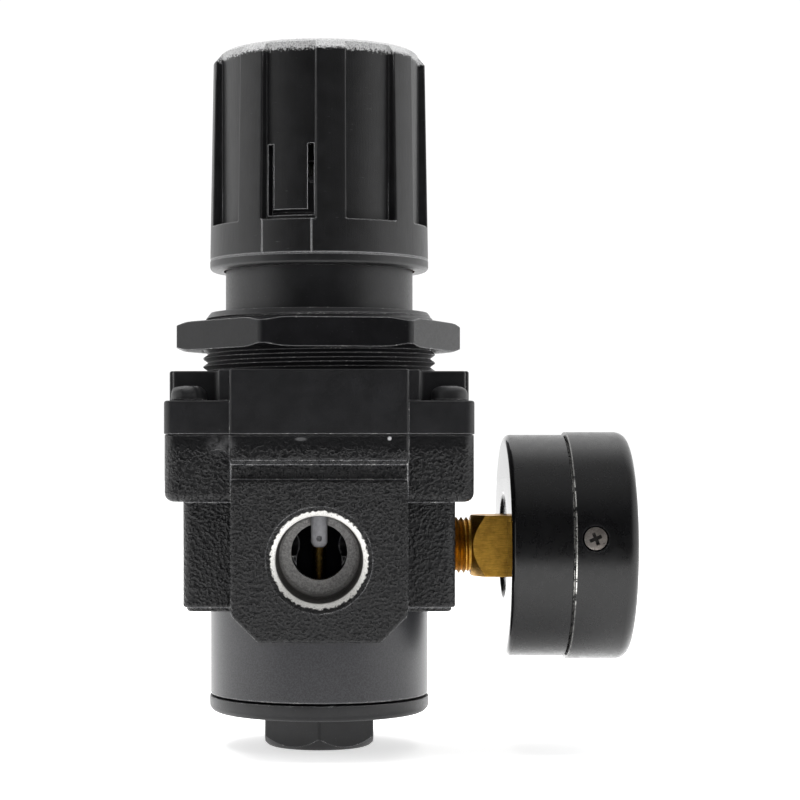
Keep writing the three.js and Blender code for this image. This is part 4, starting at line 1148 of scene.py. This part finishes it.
def scale_marks():
    marks = [band(14.9, 15.02)]
    for psi in range(0, PSI_TOP + 1, 4):
        major = psi % 20 == 0
        marks.append(tick(psi, 15.0, 16.9 if major else 15.9, 0.34 if major else 0.16))
    for tenths in range(0, 12):
        psi = tenths / 10 * PSI_IN_A_MPA
        marks.append(tick(psi, 9.3, 10.1, 0.26))
        if tenths % 2 == 0:
            marks.append(lettering(f"{tenths / 10:g}", 1.5, clock(8.0, dial_angle(psi))))
    for psi in range(0, PSI_TOP + 1, 20):
        marks.append(lettering(str(psi), 2.3, clock(12.7, dial_angle(psi))))
    marks.append(lettering("psi", 2.2, clock(12.2, 180)))
    marks.append(lettering("MPa", 1.7, clock(8.2, 180)))
    return on_gauge(merged(marks))


def dial_plate():
    profile = [(0, 48.2), (18, 48.2), (18.1, 48.3), (18.1, 48.6), (18, DIAL_FACE), (0, DIAL_FACE)]
    holes = [moved(rod(1, 47, 50, 32), x, y) for x, y in DIAL_SCREWS]
    return on_gauge(cut(turned(profile, 128), rod(1.2, 47, 50, 32), *holes))


def pointer():
    outline = [(-14.2, 0.12), (-14.2, -0.12), (-5, -0.62), (0, -0.8), (4.4, -1.2), (4.4, 1.2),
               (0, 0.8), (-5, 0.62)]
    rounded = fillet(outline, [0.05, 0.05, 0, 0, 0.4, 0.4, 0, 0], 3)
    needle = prism(rounded, 50.1, 50.4, 0.04, 0.08, 2)
    hub = turned([(0, 50.05), (1.7, 50.05), (1.8, 50.15), (1.8, 50.85), (1.6, 51.1), (0, 51.1)], 40)
    shape = cut(join(hub, needle), rod(0.8, 49, 50.8, 24))
    return on_gauge(moved(shape, turn=-ZERO_CLOCK))


piece("dial_plate", dial_plate(), "casing", ENAMEL, "gauge_dial")
piece("dial_marks", scale_marks(), "casing", INK)
piece("needle", pointer(), "pointer", LACQUER, "gauge_pointer")
for number, (x, y) in enumerate(DIAL_SCREWS, 1):
    screw = moved(cross_screw(1.3, 0.8, 0.7, 1.1, 0.3), x, y, 49)
    piece(f"plate_screw_{number}", on_gauge(screw), "casing", SCREW_STEEL, f"dial_screw_{number}")

# ---------------------------------------------------------------- seals, valve, diaphragm and springs


def o_ring(radius, section, height):
    profile = [(radius + section * math.cos(a), height + section * math.sin(a))
               for a in [TAU * k / 20 for k in range(20)]]
    return turned(profile, 96)


WEB_LOW, WEB = 55.0, 0.8
SKIRT = (13.55, 13.9)


def bellied():
    """The diaphragm's outer part: one raised convolution and the clamped rim."""
    under = [(SKIRT[1] + 0.1, WEB_LOW)]
    over = []
    for step in range(13):
        angle = math.pi * (1 - step / 12)
        under.append((16.2 + 1.5 * math.cos(angle), WEB_LOW + 1.5 * math.sin(angle)))
        over.append((16.2 + 2.2 * math.cos(angle), WEB_LOW + WEB + 1.5 * math.sin(angle)))
    under.append((22, WEB_LOW))
    over.append((22, WEB_LOW + WEB))
    return under + over[::-1]


# The web between the plates moves with them, and its skirt slides down the inside of the convolution.
CENTRE_WEB = [(3.1, WEB_LOW), (SKIRT[1], WEB_LOW), (SKIRT[1], WEB_LOW + 1.9), (SKIRT[0], WEB_LOW + 1.9),
              (SKIRT[0], WEB_LOW + WEB), (3.1, WEB_LOW + WEB)]


def aspirator():
    tube = turned([(0, 36), (0.55, 36.02), (0.95, 36.2), (1.28, 36.55), (1.45, 37.0), (1.45, 47.05),
                   (1.4, 47.1), (0, 47.1)], 40)
    mouth = turned([(0, 0), (0.42, 0), (0.42, 1.2), (0.62, 1.6), (0, 1.6)], 24)
    hollow = [rod(0.75, 36.9, 48, 24), laid(mouth, (0, -1, 0), (0, 0, 37.6))]
    return moved(cut(tube, *hollow), 0, -9.6)


STEM = [(0, 19.3), (1.1, 19.3), (1.3, 19.5), (1.3, 49.2), (0.9, 49.9), (0.5, 50.2), (0, 50.2)]
SEAT = [(4, 24.2), (5, 24.2), (5.25, 24.5), (5.4, 24.8), (7, 24.8), (7, 26), (5.7, 26), (5.7, 27.6),
        (7, 27.6), (7, 28.6), (6.9, 28.7), (4, 28.7)]
POPPET = [(0, 5.6), (1.7, 5.6), (1.9, 5.8), (1.9, 17.3), (5.6, 17.3), (5.8, 17.5), (5.8, 22.5),
          (5.7, 22.6), (1.6, 22.6), (1.6, 19), (0, 19)]
SEAL = fillet([(1.9, 22.9), (6, 22.9), (6, 23.9), (1.9, 23.9)], 0.15, 3)
SPRING_PLATE = fillet([(2.9, 56.1), (13.4, 56.1), (13.4, 57.4), (9.2, 57.4), (8.6, 58.2), (5.4, 58.2),
                       (5.4, 57.4), (2.9, 57.4)], 0.12, 3)
RELIEF = [(0.9, 50.5), (4.4, 50.5), (4.6, 50.7), (4.6, 52.9), (2.6, 52.9), (2.6, 60.8), (2.4, 61),
          (0.9, 61)]
LOWER_PLATE = fillet([(2.9, 53.2), (13.5, 53.2), (13.5, 54.7), (2.9, 54.7)], 0.2, 3)
WASHER = fillet([(5, 95.8), (8.5, 95.8), (8.5, 96.6), (5, 96.6)], 0.1, 3)
GASKET = fillet([(17.2, 51.5), (18.4, 51.5), (18.4, 52.5), (17.2, 52.5)], 0.2, 3)

INSIDE = [
    ("cap_seal", o_ring(14.1, 0.75, 11.25), "casing", RUBBER, "bottom_cap_oring"),
    ("seat_seal", o_ring(6.4, 0.55, 26.8), "casing", RUBBER, "seat_oring"),
    ("seat", turned(SEAT, 64), "casing", BRASS, "valve_seat"),
    ("poppet", turned(POPPET, 64), "valve", BRASS, "valve_poppet"),
    ("poppet_face", turned(SEAL, 64), "valve", RUBBER, "poppet_seal"),
    ("stem", turned(STEM, 32), "valve", BRASS, "valve_stem"),
    ("pick_up_tube", aspirator(), "casing", GREY, "aspirator_tube"),
    ("membrane", turned(bellied(), 96), "casing", RUBBER, "diaphragm"),
    ("membrane_web", turned(CENTRE_WEB, 96), "diaphragm_stack", RUBBER, "diaphragm"),
    ("lower_plate", turned(LOWER_PLATE, 64), "diaphragm_stack", STEEL, "lower_diaphragm_plate"),
    ("upper_plate", turned(SPRING_PLATE, 64), "diaphragm_stack", STEEL, "spring_plate"),
    ("relief_stud", turned(RELIEF, 48), "diaphragm_stack", BRASS, "relief_seat"),
    ("washer", turned(WASHER, 64), "casing", STEEL, "thrust_washer"),
    ("window_gasket", on_gauge(turned(GASKET, 96)), "casing", RUBBER, "lens_gasket"),
]
for name, mesh, body, material, node in INSIDE:
    piece(name, mesh, body, material, node)

main_spring = piece("main_spring", coil(11.3, 1.45, 59.3, 86.7, 6, 48, 14), "casing", STEEL,
                    "regulating_spring")
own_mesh(main_spring)
return_spring = piece("return_spring", coil(4.6, 0.48, 4.9, 16.5, 5, 40, 10), "casing", STEEL,
                      "valve_spring")
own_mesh(return_spring)

# ---------------------------------------------------------------- the other CAD pieces keep their shape

KEPT = {"steel": STEEL, "brass": BRASS}
for entry in frame["record"]["subparts"]:
    node = frame["nodes"][entry["node"]]
    finish = KEPT.get(entry["material_slot"])
    if finish and not node.hide_render:
        for holder in node.material_slots:
            holder.material = finish

# ---------------------------------------------------------------- floor, sky and lights


FLOOR_FRONT, FLOOR_SIZE, FLOOR_GLOW = -0.14, 3.0, 0.58


def floor():
    """A pale matt ground that glows a little, so that only soft shadows show on it."""
    plane = bpy.data.meshes.new("floor")
    corners = [(-FLOOR_SIZE, FLOOR_FRONT, 0), (FLOOR_SIZE, FLOOR_FRONT, 0),
               (FLOOR_SIZE, FLOOR_SIZE, 0), (-FLOOR_SIZE, FLOOR_SIZE, 0)]
    plane.from_pydata(corners, [], [(0, 1, 2, 3)])
    material = bpy.data.materials.new("floor")
    material.use_nodes = True
    shader = material.node_tree.nodes["Principled BSDF"]
    shader.inputs["Base Color"].default_value = (0.95, 0.95, 0.95, 1)
    shader.inputs["Roughness"].default_value = 1.0
    shader.inputs["Specular IOR Level"].default_value = 0.0
    shader.inputs["Emission Color"].default_value = (1, 1, 1, 1)
    shader.inputs["Emission Strength"].default_value = FLOOR_GLOW
    plane.materials.append(material)
    made = bpy.data.objects.new("floor", plane)
    bpy.context.scene.collection.objects.link(made)


SKY_FRONT, SKY_SIDE, SKY_BACK, SKY_TOP = 0.06, 1.4, 1.2, 0.5
BACKDROP = 1.05


def sky():
    """Bright at the sides and behind, dim in front, as in a light tent, and white to the camera."""
    world = bpy.data.worlds.new("studio")
    bpy.context.scene.world = world
    world.use_nodes = True
    n = Nodes(world.node_tree)
    split = n.node("ShaderNodeSeparateXYZ")
    n.link(n.node("ShaderNodeTexCoord").outputs["Generated"], split.inputs[0])
    x, y, z = split.outputs
    side = n.span(n.math("ABSOLUTE", x), 0.62, 0.98, 0.0, SKY_SIDE)
    back = n.span(y, 0.0, 0.6, 0.0, SKY_BACK)
    top = n.span(z, 0.5, 0.95, 0.0, SKY_TOP)
    light = n.plus(n.any_of(side, back), top, SKY_FRONT)
    seen = n.node("ShaderNodeLightPath").outputs["Is Camera Ray"]
    background = n.tree.nodes["Background"]
    background.inputs["Color"].default_value = (1, 1, 1, 1)
    n.link(n.blend(seen, light, BACKDROP), background.inputs["Strength"])


def area(name, place, aim, size, watts):
    """A soft lamp that lights matt surfaces and doesn't show up in shiny ones."""
    light = bpy.data.lights.new(name, "AREA")
    light.shape = "RECTANGLE"
    light.size, light.size_y = size
    light.energy = watts
    lamp = bpy.data.objects.new(name, light)
    lamp.location = place
    lamp.rotation_euler = (Vector(aim) - Vector(place)).to_track_quat("-Z", "Y").to_euler()
    lamp.visible_camera = False
    lamp.visible_glossy = False
    bpy.context.scene.collection.objects.link(lamp)


floor()
sky()
area("top_box", place=(0, 0.15, 0.9), aim=(0, 0, 0), size=(0.9, 0.7), watts=12.0)
area("front_box", place=(0.05, -0.75, 0.02), aim=(0, 0, 0.04), size=(0.4, 0.3), watts=2.6)
